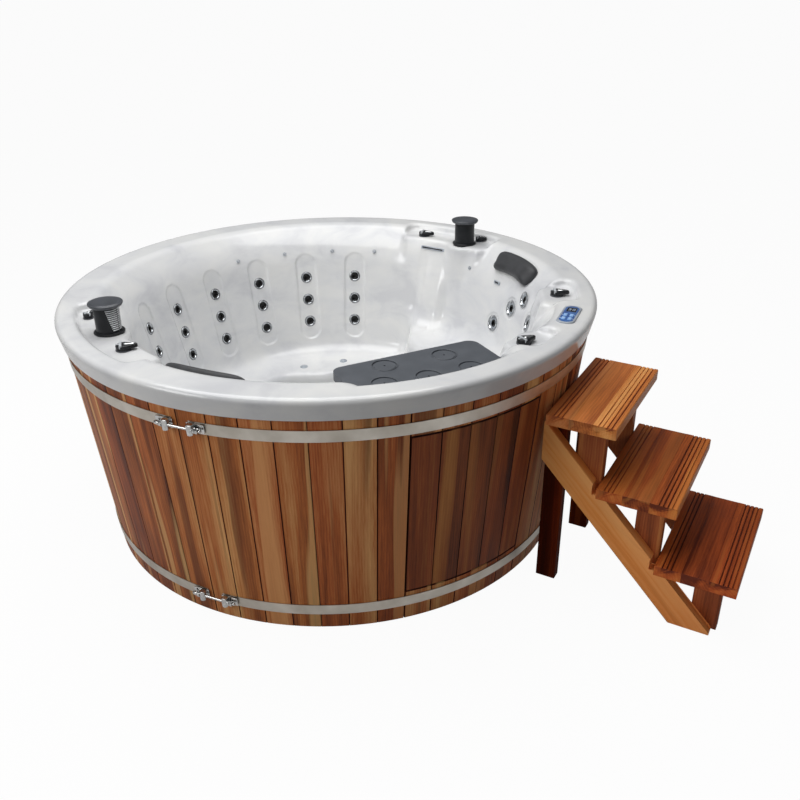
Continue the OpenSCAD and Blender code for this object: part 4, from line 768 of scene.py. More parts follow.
def seat_jet_recesses(space, x, y, z, wall):
    """Cuts a shallow dish round each seat jet, and its bore."""
    for az, jet_z in SEAT_JETS:
        out, side = along(x, y, az)
        up = (out - wall_r(jet_z)) * math.sin(WALL_TILT) + (z - jet_z) * math.cos(WALL_TILT)
        dish = np.where(out > 0, DISH_R - np.hypot(up, side), OUTSIDE)
        dish = soft_min(dish, wall + DISH_DEPTH, DISH_ROUND)
        space = soft_max(space, dish, DISH_ROUND)
        bore = np.where(out > 0, SEAT_BORE_R - np.hypot(up, side), OUTSIDE)
        space = np.maximum(space, np.minimum(bore, wall + BORE_DEPTH))
    return space


def skimmer_mouth(xp, yp, z):
    """Mouth of the skimmer in the pod's upright wall."""
    mouth = inside_rect(xp, yp, *MOUTH_X, MOUTH_HALF, MOUTH_ROUND)
    return soft_min(mouth, MOUTH_HALF_H - np.abs(z - MOUTH_Z), MOUTH_COVE)


def cover_pocket(xp, yp, r, z):
    """Pocket that the filter cover lies in, with 3 mm of play round the cover."""
    past_cover, play = 0.06, 0.003
    cover = inside_rect(xp, yp, COVER_X, COVER_R + past_cover, COVER_HALF, COVER_ROUND)
    return soft_min(np.minimum(cover, COVER_R - r) + play, z - LEDGE_Z, POCKET_COVE)


def water_space(x, y, z):
    """The space that the shell holds: outside it is the shell's wall."""
    r = np.hypot(x, y)
    az = np.degrees(np.arctan2(y, x)) % 360
    xp, yp = along(x, y, COVER_AZ)
    wall = bath_wall(az, r, z)
    space = soft_min(wall, z - BENCH_Z, BENCH_COVE)
    space = soft_min(space, -raised_seat(x, y, z), SEAT_COVE)
    space = soft_max(space, footwell(x, y, z), WELL_EDGE)
    space = soft_min(space, -filter_pod(xp, yp, z), POD_COVE)
    tower_bores = np.full_like(x, OUTSIDE)
    for speaker_az, speaker_r, _ in SPEAKERS.values():
        axis = polar(speaker_az, speaker_r)
        off = np.hypot(x - axis[0], y - axis[1])
        boss = soft_min(BOSS_R - off, DECK_Z - z, BOSS_EDGE)
        space = soft_min(space, -boss, BOSS_COVE)
        bore = np.minimum(TOWER_BORE_R - off, z - TOWER_BORE_Z)
        tower_bores = np.maximum(tower_bores, bore)
    space = soft_max(space, rim_flare(az, r, z), FLARE_EDGE)
    for az0, az1 in CONSOLES:
        space = soft_max(space, console(az, r, z, az0, az1), DECK_EDGE)
    space = jet_recesses(space, x, y, z, wall)
    space = seat_jet_recesses(space, x, y, z, wall)
    space = soft_max(space, skimmer_mouth(xp, yp, z), MOUTH_EDGE)
    pocket_edge = np.interp(z, POCKET_EDGE_ZS, POCKET_EDGES)
    space = soft_max(space, cover_pocket(xp, yp, r, z), pocket_edge)
    return np.maximum(space, tower_bores)


# the fascia leans out from its lower edge to where the rim's rounding begins
SIDE_LEAN = (RIM_R - FASCIA_R) / (RIM_Z - 0.014 - FASCIA_Z)


def shell_depth(x, y, z):
    """Depth inside the moulding, taken as solid down to the floor."""
    r = np.hypot(x, y)
    side = np.minimum(FASCIA_R + SIDE_LEAN * (z - FASCIA_Z), RIM_R) - r
    block = soft_min(RIM_Z - z, side, RIM_ROUND)
    return soft_min(block, -water_space(x, y, z), LIP_EDGE)


# ---------------------------------------------------------------- mesh of the moulded shell

CORNERS = [(a, b, c) for a in (0, 1) for b in (0, 1) for c in (0, 1)]


def sampled(field, low, high, step, coarse=4):
    """Values of a field on a grid: exact near its zero, and elsewhere one to a coarse block."""
    # blocks whose middle is within this many block widths of the surface are sampled finely
    reach = 1.6
    n = (np.ceil((np.array(high) - low) / step / coarse).astype(int)) * coarse
    axes = [low[k] + step * np.arange(n[k]) for k in range(3)]
    mids = [a.reshape(-1, coarse).mean(1) for a in axes]
    value = field(*np.meshgrid(*mids, indexing="ij"))
    near = np.abs(value) < step * coarse * reach
    for k in range(3):
        value, near = value.repeat(coarse, k), near.repeat(coarse, k)
    i, j, k = np.nonzero(near)
    value[i, j, k] = field(axes[0][i], axes[1][j], axes[2][k])
    return value


def crossing_cells(solid):
    """Cells of a grid that the surface crosses, and each one's number, or -1."""
    count = np.zeros(np.array(solid.shape) - 1, np.int8)
    for a, b, c in CORNERS:
        count += solid[a:a + count.shape[0], b:b + count.shape[1], c:c + count.shape[2]]
    cells = np.argwhere((count > 0) & (count < 8))
    number = np.full(count.shape, -1, np.int64)
    number[tuple(cells.T)] = np.arange(len(cells))
    return cells, number


def middle_of_crossings(value, cells):
    """In each cell, the mean of the places where the surface crosses the cell's edges."""
    at = {c: value[cells[:, 0] + c[0], cells[:, 1] + c[1], cells[:, 2] + c[2]] for c in CORNERS}
    total, hits = np.zeros((len(cells), 3)), np.zeros((len(cells), 1))
    for p in CORNERS:
        for axis in range(3):
            if p[axis]:
                continue
            q = tuple(1 if d == axis else p[d] for d in range(3))
            cross = (at[p] > 0) != (at[q] > 0)
            t = np.where(cross, at[p] / np.where(cross, at[p] - at[q], 1), 0)
            total += np.where(cross[:, None], np.array(p) + t[:, None] * np.eye(3)[axis], 0)
            hits += cross[:, None]
    return total / hits


def quads_between(solid, number):
    """A quad for each grid edge that the surface crosses, joining the four cells round it."""
    faces = []
    for axis in range(3):
        u, v = (axis + 1) % 3, (axis + 2) % 3
        first = [slice(None)] * 3
        second = [slice(None)] * 3
        first[axis], second[axis] = slice(0, -1), slice(1, None)
        change = np.argwhere(solid[tuple(first)] != solid[tuple(second)])
        change = change[(change[:, u] > 0) & (change[:, v] > 0)
                        & (change[:, u] < number.shape[u]) & (change[:, v] < number.shape[v])]
        ring = []
        for du, dv in ((-1, -1), (0, -1), (0, 0), (-1, 0)):
            c = change.copy()
            c[:, u] += du
            c[:, v] += dv
            ring.append(number[tuple(c.T)])
        ring = np.stack(ring, 1)
        outward = solid[tuple(change.T)]
        ring[~outward] = ring[~outward][:, ::-1]
        faces.append(ring)
    return np.concatenate(faces)


def settled(field, points, step, eps=0.0004):
    """Moves points onto the surface, and gives its normals there, out of the solid."""
    # two moves, then normals only; where the field is nearly level, its slope counts as more
    moves, least_slope_squared = 2, 0.05
    for turn in range(moves + 1):
        slope = np.stack([
            (field(*(points + eps * e).T) - field(*(points - eps * e).T)) / (2 * eps)
            for e in np.eye(3)], 1)
        squared = np.maximum((slope ** 2).sum(1, keepdims=True), least_slope_squared)
        if turn < moves:
            move = -field(*points.T)[:, None] * slope / squared
            points = points + np.clip(move, -step, step)
    return points, -slope / np.sqrt(squared)


def net_of(field, low, high, step):
    """Quads over the surface where a field is zero, with every point moved onto it."""
    low = np.array(low)
    value = sampled(field, low, high, step)
    solid = value > 0
    cells, number = crossing_cells(solid)
    points = low + step * (cells + middle_of_crossings(value, cells))
    points, normals = settled(field, points, step)
    return points, quads_between(solid, number), normals


def above_fascia_edge(points, normals, faces, step):
    """Leaves out the outside below the fascia's edge, which belongs to the skirt, and draws
    the net's lowest row onto that edge."""
    r = np.hypot(points[:, 0], points[:, 1])
    near_side, row_r = 0.02, 0.95
    outside = r > FASCIA_R + SIDE_LEAN * (points[:, 2] - FASCIA_Z) - near_side
    below = (points[faces, 2].max(1) < FASCIA_Z + 0.001) & outside[faces].any(1)
    faces = faces[~below]
    low = (r > row_r) & (points[:, 2] < FASCIA_Z + step / 2)
    points[low, 0] *= FASCIA_R / r[low]
    points[low, 1] *= FASCIA_R / r[low]
    points[low, 2] = FASCIA_Z
    used = np.unique(faces)
    renumber = np.full(len(points), -1)
    renumber[used] = np.arange(len(used))
    return points[used], normals[used], renumber[faces]


def tub_shell():
    """The whole bath in one moulding: rim, wall, seats, footwell, pod and every recess."""
    step = 0.007
    across = RIM_R + 0.02
    low, high = (-across, -across, FOOT_Z - 0.015), (across, across, RIM_Z + 0.025)
    points, faces, normals = net_of(shell_depth, low, high, step)
    points, normals, faces = above_fascia_edge(points, normals, faces, step)
    # turned-under edge of the fascia, and the fascia's back up to the deck
    edge, ring = turned([(FASCIA_R, FASCIA_Z), (0.9855, FASCIA_Z - 0.0006),
                         (0.979, FASCIA_Z - 0.0006), (0.978, FASCIA_Z + 0.001),
                         (0.984, 0.872)], 360)
    mesh = bpy.data.meshes.new("moulded_shell")
    everything = np.concatenate([points, np.array(edge)])
    quads = np.concatenate([faces, np.array(ring) + len(points)])
    mesh.from_pydata(everything.tolist(), [], quads.tolist())
    mesh.materials.append(ACRYLIC)
    mesh.polygons.foreach_set("use_smooth", [True] * len(quads))
    mesh.update()
    shading = np.array([v.normal for v in mesh.vertices], float)
    shading[:len(normals)] = normals
    mesh.normals_split_custom_set_from_vertices(shading.tolist())
    obj = bpy.data.objects.new("moulded_shell", mesh)
    bpy.context.scene.collection.objects.link(obj)
    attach(obj, "tub")
    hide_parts("tub_shell")


# ---------------------------------------------------------------- cedar skirt

# gaps: on each side of a stave, on each side of the panel, and above and below the panel
SEAM, OPEN_SEAM, PANEL_GAP = 0.0001, 0.0020, 0.0025

# easing of a stave's edges: how deep and how wide it is, and how far in its painted shade
# reaches; and of its ends: how deep and long it is, and how far along its painted shade reaches
EDGE_DEPTH, EDGE_EASE, EDGE_SHADE = 0.0032, 0.0016, 0.0024
END_EASE, END_SHADE = 0.0022, 0.003

# how much painted shade in a seam and in a tread's groove takes off a board's tone
SEAM_SHADE, GROOVE_SHADE = 0.75, 0.42

# battens behind the panel: distance from its ends, half width, thickness, and from its sides
BATTEN_IN, BATTEN_HALF, BATTEN_T, BATTEN_SIDE = 0.09, 0.03, 0.018, 3

chance = random.Random(7)


def plank_grain(points, along_axis):
    """Place of each point in its plank (across, along, through), at a random spot of the log."""
    shift = [chance.uniform(-3, 3), chance.uniform(-5, 5), chance.uniform(0.02, 0.09)]
    order = {"x": (1, 0, 2), "y": (0, 1, 2), "z": (0, 2, 1)}[along_axis]
    return [tuple(p[order[k]] + shift[k] for k in range(3)) for p in points]


def stave(az, z0, z1, tone, gaps=(SEAM, SEAM)):
    """One stave between two heights: bowed face, eased seams and ends, the easing darkened
    with painted shade. Returns shape, grain and tone."""
    rings, grain, tones = [], [], []
    shift = (chance.uniform(-3, 3), chance.uniform(-5, 5), chance.uniform(0.03, 0.10))
    # height of each section, how far its face is set back, and whether it is an end in painted
    # shade
    sections = [(z0, END_EASE, 1), (z0 + END_EASE, 0.0, 1), (z0 + END_SHADE, 0.0, 0),
                (z1 - END_SHADE, 0.0, 0), (z1 - END_EASE, 0.0, 1), (z1, END_EASE, 1)]
    for z, inset, end in sections:
        r = stave_r(z)
        half = math.pi / STAVES * r
        low, high = -half + gaps[0], half - gaps[1]
        # across the stave, radius, and whether painted shade is there
        section = [(low, r - STAVE_T, 1), (low, r - EDGE_DEPTH, 1),
                   (low + EDGE_EASE, r - inset, 1), (low + EDGE_SHADE, r - inset, 0)]
        section += [(half * t, r - inset, 0) for t in (-0.45, 0, 0.45)]
        section += [(high - EDGE_SHADE, r - inset, 0), (high - EDGE_EASE, r - inset, 1),
                    (high, r - EDGE_DEPTH, 1), (high, r - STAVE_T, 1)]
        ring = []
        for across, point_r, in_shade in section:
            a = math.radians(az) + across / r
            ring.append((point_r * math.cos(a), point_r * math.sin(a), z))
            grain.append((across + shift[0], z + shift[1], shift[2] + r - point_r))
            # painted shade darkens the eased seams and both ends of the stave
            tones.append(tone - SEAM_SHADE if in_shade or end else tone)
        rings.append(ring)
    return lofted(rings), grain, tones


def stave_tone(i):
    """Tone of each stave: dark, middling or pale, by its number alone."""
    picked = random.Random(i * 31 + 5)
    return picked.choice((picked.uniform(0.24, 0.38), picked.uniform(0.34, 0.52),
                          picked.uniform(0.50, 0.68)))


def panel_batten(z):
    """Curved batten across the panel's back, with its two inner edges eased by 2 mm."""
    r, ease = stave_r(z) - STAVE_T, 0.002
    reach = 180 / STAVES * PANEL_STAVES - BATTEN_SIDE
    section = [(0, -BATTEN_HALF), (BATTEN_T - ease, -BATTEN_HALF), (BATTEN_T, ease - BATTEN_HALF),
               (BATTEN_T, BATTEN_HALF - ease), (BATTEN_T - ease, BATTEN_HALF), (0, BATTEN_HALF)]
    rings = []
    for k in range(9):
        a = math.radians(PANEL_AZ + BATTEN_SIDE + 2 * reach * k / 8)
        rings.append([((r - d) * math.cos(a), (r - d) * math.sin(a), z + h) for d, h in section])
    return lofted(rings)


def skirt():
    """Staves all round, and five of them, between short ones, on the access panel."""
    boards, panel = Piece("cedar_skirt"), Piece("cedar_access_panel")
    for i in range(STAVES):
        az = PANEL_AZ + 360 / STAVES * (i + 0.5)
        tone = stave_tone(i)
        # the seams at the panel's two sides stand open
        gaps = (OPEN_SEAM if i in (0, PANEL_STAVES) else SEAM,
                OPEN_SEAM if i in (STAVES - 1, PANEL_STAVES - 1) else SEAM)
        if i >= PANEL_STAVES:
            shape, grain, tones = stave(az, SKIRT_Z0, SKIRT_Z1, tone, gaps)
            boards.put(shape, CEDAR, None, grain, tones)
            continue
        for z0, z1 in ((SKIRT_Z0, PANEL_Z0 - PANEL_GAP), (PANEL_Z1 + PANEL_GAP, SKIRT_Z1)):
            shape, grain, tones = stave(az, z0, z1, tone)
            boards.put(shape, CEDAR, None, grain, tones)
        # the panel's boards are more alike than the staves round it, and darker with painted shade
        shape, grain, tones = stave(az, PANEL_Z0, PANEL_Z1, 0.2 + tone * 0.5, gaps)
        panel.put(shape, PANEL_CEDAR, None, grain, tones)
    for z in (PANEL_Z0 + BATTEN_IN, PANEL_Z1 - BATTEN_IN):
        shape = panel_batten(z)
        panel.put(shape, PANEL_CEDAR, None, plank_grain(shape[0], "x"), [0.3] * len(shape[0]))
    boards.done("tub", "skirt_staves", slot="cedar", edge=28)
    panel.done("access_panel_body", "access_panel", slot="cedar", edge=28)


# ---------------------------------------------------------------- cedar steps
# Drawn with x out from the tub, y across the steps and z up, then turned to where they stand.

ON_STEPS = spun(STEPS_AZ) @ moved(0, STEPS_SHIFT, 0)
TOP_BACK = stave_r(3 * RISE) + 0.005
SIDE_Y = TREAD_W / 2 - 0.02 - SIDE_T

# rear legs touch the staves, the uprights stand back from the treads' noses, and the
# stringer's foot stands back from the lowest one and its notches clear the treads' heels
LEG_X = math.sqrt((TOP_BACK - 0.003) ** 2 - (SIDE_Y - SIDE_T - STEPS_SHIFT) ** 2)
TOP_TREAD_L, LEG_W, UPRIGHT_W = 0.233, 0.07, 0.09
UPRIGHT_BACK, FOOT_BACK, NOTCH_PLAY = 0.045, 0.06, 0.02

# non-slip grooves of the treads: how far apart, how wide and how deep
GROOVE_PITCH, GROOVE_W, GROOVE_D = 0.014, 0.004, 0.003


def tread_front(k):
    """Front of a tread, from the top one, 0, to the lowest, 2."""
    return TOP_BACK + TOP_TREAD_L + GOING * k


def tread_under(k):
    """Height of a tread's underside."""
    return (3 - k) * RISE - TREAD_T


def across_board(outline, y0, y1, ease, sides=True):
    """Board of an x-z outline from y0 to y1, with its two ends eased. sides is whether the
    outline's front and back draw in there, besides its top and bottom."""
    cx = sum(p[0] for p in outline) / len(outline)
    cz = sum(p[1] for p in outline) / len(outline)
    # top and bottom draw in as on a board 120 mm tall
    wide, tall = max(abs(p[0] - cx) for p in outline), 0.06
    rings = []
    for y, inset in ((y0, ease), (y0 + ease, 0), (y1 - ease, 0), (y1, ease)):
        k = 1 - inset / wide if sides else 1
        rings.append([(cx + (x - cx) * k, y, cz + (z - cz) * (1 - inset / tall))
                      for x, z in outline])
    return lofted(rings)


def eased(outline, r):
    """Cuts each corner of an outline off at r."""
    out = []
    for i, p in enumerate(outline):
        for q in (outline[i - 1], outline[(i + 1) % len(outline)]):
            length = math.hypot(q[0] - p[0], q[1] - p[1])
            k = min(r / length, 0.3)
            out.append((p[0] + (q[0] - p[0]) * k, p[1] + (q[1] - p[1]) * k))
    return out


def groove(x, top):
    """A non-slip groove from x on, in a tread's top: x, height, and 1 where it holds painted shade.
    """
    lip, floor = 0.0008, 0.0005
    return [(x - lip, top, 0), (x + 0.0003, top - 0.001, 1), (x + floor, top - GROOVE_D, 1),
            (x + GROOVE_W - floor, top - GROOVE_D, 1), (x + 0.0037, top - 0.001, 1),
            (x + GROOVE_W + lip, top, 0)]


def tread_strip(a, b, low, top, grooves, first, last):
    """Outline of one glued strip of a tread, with rounded edges at the tread's own heel and
    nose and slight ones, dark with painted shade, at the glue lines."""
    glued, rounded = 0.0006, 0.003
    heel = rounded if first else glued
    nose = rounded if last else glued
    outline = [(a + glued, low, 0), (a, low + glued, 0), (a, top - heel, not first),
               (a + heel, top, 0)]
    for x in grooves:
        if a < x < b:
            outline += groove(x, top)
    outline += [(b - nose, top, 0), (b, top - nose, not last), (b, low + glued, 0),
                (b - glued, low, 0)]
    return outline


def treads():
    """Three treads, each glued up from three strips, with non-slip grooves along both edges."""
    piece = Piece("grooved_treads")
    for k, stain in enumerate((TREAD_CEDAR, RED_CEDAR, RED_CEDAR)):
        x1 = tread_front(k)
        x0 = TOP_BACK if k == 0 else x1 - TREAD_L
        top, low = tread_under(k) + TREAD_T, tread_under(k)
        # three grooves at the heel and four at the nose
        grooves = [x0 + GROOVE_PITCH * g + 0.01 for g in (1, 2, 3)]
        grooves += [x1 - GROOVE_PITCH * g - GROOVE_W for g in (4, 3, 2, 1)]
        for strip, tone in enumerate((0.60, 0.34, 0.50)):
            # the lower the tread, the darker its strips
            tone -= 0.06 * k
            a, b = (x0 + (x1 - x0) * t / 3 for t in (strip, strip + 1))
            outline = tread_strip(a, b, low, top, grooves, strip == 0, strip == 2)
            shape = across_board([p[:2] for p in outline], -TREAD_W / 2, TREAD_W / 2, 0.002, False)
            # painted shade darkens the grooves and the glue lines
            tones = [tone - GROOVE_SHADE * in_shade for _, _, in_shade in outline] * 4
            piece.put(shape, stain, ON_STEPS, plank_grain(shape[0], "y"), tones)
    piece.done("steps", "step_treads", slot="cedar", edge=30)


def stringer_outline(slope, foot, run):
    """Sloping stringer from its foot to the rear legs. Its upper edge is notched round the
    corners of the treads."""
    upper = foot - LEG_X
    edge = [(foot, 0.0), (foot - run, 0.0), (LEG_X, (upper - run) * slope),
            (LEG_X, min(upper * slope, tread_under(0)))]
    if upper * slope > tread_under(0):
        edge.append((foot - tread_under(0) / slope, tread_under(0)))
    for k in (1, 2):
        x_back = tread_front(k) - TREAD_L - NOTCH_PLAY
        top, low = tread_under(k) + TREAD_T, tread_under(k)
        if foot - top / slope < x_back < foot - low / slope:
            edge += [(x_back, (foot - x_back) * slope), (x_back, low), (foot - low / slope, low)]
        elif x_back <= foot - top / slope:
            edge += [(foot - top / slope, top), (x_back, top), (x_back, low),
                     (foot - low / slope, low)]
    return edge


def upright_outline(k, slope, foot, run):
    """Upright under tread k, cut to the stringer's lower edge, or for -1 the rear leg."""
    if k < 0:
        x0, x1, top = LEG_X, LEG_X + LEG_W, tread_under(0)
        cut = [(x0, 0), (x1, 0)]
    else:
        x1 = tread_front(k) - UPRIGHT_BACK
        x0, top = x1 - UPRIGHT_W, tread_under(k)
        cut = [(x, max(0.0, (foot - run - x) * slope)) for x in (x0, x1)]
        if cut[0][1] > 0 and cut[1][1] <= 0:
            cut.insert(1, (foot - run, 0))
    return cut + [(x1, top), (x0, top)]


def side_boards():
    """Stringers and, inside them, uprights and rear legs of the steps."""
    slope, ease = RISE / GOING, 0.0015
    foot = tread_front(2) - FOOT_BACK
    run = STRINGER_H / math.sin(math.atan(slope))
    stringers, uprights = Piece("honey_stringers"), Piece("cedar_uprights")
    # the stringer's grain runs down its own slope
    turn = Matrix.Rotation(-math.atan(slope), 4, "Y")
    for y0 in (-SIDE_Y - SIDE_T, SIDE_Y):
        outline = eased(stringer_outline(slope, foot, run), ease)
        shape = across_board(outline, y0, y0 + SIDE_T, ease)
        drawn = [turn @ Vector(p) for p in shape[0]]
        stringers.put(shape, HONEY_CEDAR, ON_STEPS, plank_grain(drawn, "x"),
                      [0.5] * len(shape[0]))
    for y0 in (-SIDE_Y, SIDE_Y - SIDE_T):
        for k in (-1, 0, 1, 2):
            shape = across_board(eased(upright_outline(k, slope, foot, run), ease),
                                 y0, y0 + SIDE_T, ease)
            # the rear legs take the near-black cedar, painted shade, and the uprights the darker
            # one with painted shade in it
            tone = 0.4 + 0.12 * (k == 0)
            uprights.put(shape, LEG_SHADE_CEDAR if k < 0 else PANEL_CEDAR, ON_STEPS,
                         plank_grain(shape[0], "z"), [tone] * len(shape[0]))
    stringers.done("steps", "step_stringers", slot="pale_wood", edge=30)
    uprights.done("steps", "step_uprights", slot="cedar", edge=30)


# ---------------------------------------------------------------- speakers

# grille between the tower's foot and cap: louvres round half the tower, fewer degrees of it
# towards the foot, and two ribs behind them
GRILLE_Z, GRILLE_H, LOUVRES, LOUVRE_R = 0.0128, 0.0784, 11, 0.0408
GRILLE_AZ0, GRILLE_AZ1, GRILLE_LEAN = -90, 74.5, 27
RIB_AZS, RIB_R = (-30, 30), 0.0414


def turning_collar(side, place):
    """Ring on the deck that turns the tower, with a step inside its top edge."""
    collar = turned([(0.0433, -0.02), (0.0465, -0.02), (0.0465, 0.0004), (0.0518, 0.0004),
                     (0.0521, 0.001), (0.0521, 0.0048), (0.0512, 0.0058), (0.0486, 0.0061),
                     (0.0481, 0.0066), (0.0480, 0.0074), (0.0472, 0.008), (0.0433, 0.008)],
                    72, closed=True)
    piece = Piece(side + "_turning_collar").put(collar, BLACK_ABS, place)
    piece.done(side + "_collar_body", side + "_collar", slot="black_plastic")


def tower_back():
    """Smooth half of the tower's wall behind the grille. Its edge beside the grille leans."""
    low, high = GRILLE_Z, 0.0912
    rings = []
    for k in range(19):
        ring = []
        for r, z in ((0.0392, low), (0.0431, low), (0.0431, high), (0.0392, high)):
            start, end = (76, 271) if z == high else (77, 297)
            a = math.radians(start + (end - start) * k / 18)
            ring.append((r * math.cos(a), r * math.sin(a), z))
        rings.append(ring)
    return lofted(rings)


def pop_up_speaker(side):
    """Turning collar, and tower with its cap and louvre grille. Tower at its full height."""
    az, r, facing = SPEAKERS[side]
    place = standing(az, r, DECK_Z, facing - az)
    turning_collar(side, place)
    core = turned([(0.0, -0.03), (0.043, -0.03), (0.043, 0.0125), (0.0393, 0.013),
                   (0.0393, 0.091), (0.043, 0.0915), (0.043, 0.095), (0.0452, 0.0962)], 72)
    # cap with a rolled rim, a fine groove inside it and a slightly domed top
    cap = turned([(0.0452, 0.0962), (0.0535, 0.0966), (0.0553, 0.0978), (0.0578, 0.103),
                  (0.0583, 0.1048), (0.0581, 0.1068), (0.0568, 0.1081), (0.0546, 0.1086),
                  (0.0528, 0.1081), (0.0518, 0.1084), (0.0505, 0.1096), (0.047, 0.1101),
                  (0.02, 0.1109), (0.0, 0.111)], 72)
    tower = Piece(side + "_speaker_tower")
    tower.put(core, BLACK_ABS, place).put(cap, CAP_ABS, place)
    tower.put(tower_back(), BLACK_ABS, place)
    tower.done(side + "_speaker_body", side + "_tower", slot="black_plastic", edge=35)
    grille = Piece(side + "_louvre_grille")
    for i in range(LOUVRES):
        up = (i + 0.5) / LOUVRES
        louvre = arc_bar(LOUVRE_R, GRILLE_AZ0 + GRILLE_LEAN * (1 - up), GRILLE_AZ1,
                         0.0038, 0.0042, 18)
        grille.put(louvre, SATIN, place @ moved(0, 0, GRILLE_Z + GRILLE_H * up))
    for rib_az in RIB_AZS:
        rib = rounded_box((0.0026, 0.0022, 0.0775), 0.0008, 2)
        grille.put(rib, BLACK_ABS, place @ spun(rib_az) @ moved(RIB_R, 0, 0.052))
    grille.done(side + "_speaker_body", side + "_grille", slot="chrome", edge=50)


# ---------------------------------------------------------------- knobs

# radius of the hub, radius of the lever's tip, and how far out the tip is
LARGE_KNOB, SMALL_KNOB = (0.024, 0.009, 0.037), (0.017, 0.007, 0.026)


def teardrop(hub, tail, reach, inset, z):
    """Outline round a hub and a smaller tail, drawn in by inset."""
    lean = math.acos((hub - tail) / reach)
    ring = []
    for k in range(25):
        a = lean + (2 * math.pi - 2 * lean) * k / 24
        ring.append(((hub - inset) * math.cos(a), (hub - inset) * math.sin(a), z))
    for k in range(13):
        a = -lean + 2 * lean * k / 12
        small = max(tail - inset, 0.0006)
        ring.append((reach + small * math.cos(a), small * math.sin(a), z))
    return ring


def plated_oval(reach, size):
    """Low dome let into the lever. It grows with the knob's size, but for its height."""
    rings = []
    for z, grow in ((0.0155, 1.0), (0.0176, 1.0), (0.0188, 0.86), (0.0193, 0.5)):
        rings.append([(reach * 0.5 + 0.0185 * size * grow * math.cos(math.radians(12 * i)),
                       0.0072 * size * grow * math.sin(math.radians(12 * i)), z)
                      for i in range(30)])
    return lofted(rings)


def valve_knob(name):
    """Black lever knob with a pale yoke over its hub and a plated oval along its lever."""
    az, r, direction, large = KNOBS[name]
    hub, tail, reach = LARGE_KNOB if large else SMALL_KNOB
    size = hub / LARGE_KNOB[0]
    # the knob turns on its valve's flange, 4.3 mm above the deck
    place = standing(az, r, DECK_Z + 0.0043, direction - az)
    piece = Piece("lever_" + name)
    base = turned([(0, 0), (hub - 0.002, 0), (hub - 0.0012, 0.0008), (hub - 0.0015, 0.0045),
                   (0, 0.0045)], 48)
    piece.put(base, BLACK_ABS, place)
    # height and inset of the lever's section, from its upright side over to its top
    levels = [(0.0035, 0.0012), (0.0043, 0.0), (0.0115, 0.0), (0.0138, 0.0008),
              (0.0155, 0.0026), (0.0166, 0.0048), (0.0170, 0.0066), (0.0166, 0.0078),
              (0.0160, 0.0088)]
    lever = lofted([teardrop(hub, tail, reach, inset, z) for z, inset in levels])
    piece.put(lever, BLACK_ABS, place).put(plated_oval(reach, size), CHROME, place)
    # yoke: a bar across the hub, a stem behind it, and two arms that come down beside the hub
    yoke_x = -0.008 * size
    bar = rounded_box((0.0085 * size, 0.040 * size, 0.0035), 0.0014, 3)
    piece.put(bar, PALE_ABS, place @ moved(yoke_x, 0, 0.0182))
    stem = rounded_box((0.014 * size, 0.0075 * size, 0.0032), 0.0013, 3)
    piece.put(stem, PALE_ABS, place @ moved(-0.016 * size, 0, 0.0172))
    for y in (-0.0205 * size, 0.0205 * size):
        arm = rounded_box((0.0085 * size, 0.0032, 0.0115), 0.0012, 3)
        piece.put(arm, PALE_ABS, place @ moved(yoke_x, y, 0.0138))
    stalk = turned([(0, -0.02), (0.0048, -0.02), (0.0048, 0.001), (0, 0.001)], 16)
    piece.put(stalk, BLACK_ABS, place)
    piece.done(name + "_body", name, slot="black_plastic", edge=40)


# ---------------------------------------------------------------- jets and fittings

# wide spout under the back console and the neck spout by the pillow: azimuth, height, length
SPOUTS = ((53.3, 0.840, 0.118), (23.5, 0.780, 0.040))

# lights along the waterline as azimuth and height, and air fittings in the bench as x and y
LIGHTS = ((122.1, 0.8), (105.5, 0.8), (89.1, 0.8), (74.4, 0.8), (37.6, 0.795))
SEAT_AIRS = ((-0.139, 0.469), (0.043, 0.517))


def jet_nozzles():
    """Small jets: dark grey gasket, grey chrome ring rolled inwards, and a black nozzle cup. The
    gasket and the ring's grey are painted shade round the ring.
    """
    ring = turned([(0.0225, 0.0062), (0.0240, 0.0050), (0.0239, 0.0032), (0.0226, 0.0021),
                   (0.0203, 0.0020), (0.0178, 0.0033), (0.0160, 0.0052), (0.0150, 0.0085)], 40)
    cup = turned([(0.0150, 0.0085), (0.0138, 0.0066), (0.0118, 0.0056), (0.0098, 0.0060),
                  (0.0086, 0.0078), (0.0078, 0.0140), (0.0, 0.0155)], 32)
    gasket = turned([(0.0256, 0.0064), (0.0255, 0.0053), (0.0248, 0.0049), (0.0236, 0.0052)], 40)
    piece = Piece("small_jet_nozzles")
    for az in JET_AZS:
        for z in JET_ZS:
            place = on_wall(az, z)
            piece.put(gasket, DARK_ABS, place).put(ring, GREY_CHROME, place)
            piece.put(cup, BLACK_GLOSS, place)
    piece.done("tub", "small_jets", slot="chrome", edge=50)


def seat_jet(i):
    """Turning seat jet: wide plated ring with grips, and a black nozzle in its mouth."""
    az, z = SEAT_JETS[i - 1]
    place = on_wall(az, z)
    ring = turned([(0.0330, 0.0029), (0.0342, 0.0014), (0.0338, -0.0008), (0.0318, -0.0016),
                   (0.0286, -0.0012), (0.0262, 0.0006), (0.0240, 0.0030), (0.0225, 0.0070)], 56)
    inner = turned([(0.0225, 0.0070), (0.0208, 0.0042), (0.0180, 0.0040), (0.0160, 0.0060)], 40)
    nozzle = turned([(0.0160, 0.0060), (0.0148, 0.0036), (0.0118, 0.0024), (0.0092, 0.0034),
                     (0.0084, 0.0120), (0.0, 0.0140)], 32)
    piece = Piece("turning_seat_jet_%d" % i)
    # the ring's grey plating is painted shade that outlines it
    piece.put(ring, GREY_CHROME, place).put(inner, SILVER, place).put(nozzle, BLACK_GLOSS, place)
    for k in range(3):
        grip = rounded_box((0.0065, 0.0105, 0.0032), 0.0013, 3)
        piece.put(grip, CHROME, place @ spun(120 * k + 30) @ moved(0.0288, 0, -0.0010))
    piece.done("seat_jet_%d_body" % i, "seat_jet_%d" % i, slot="chrome", edge=50)


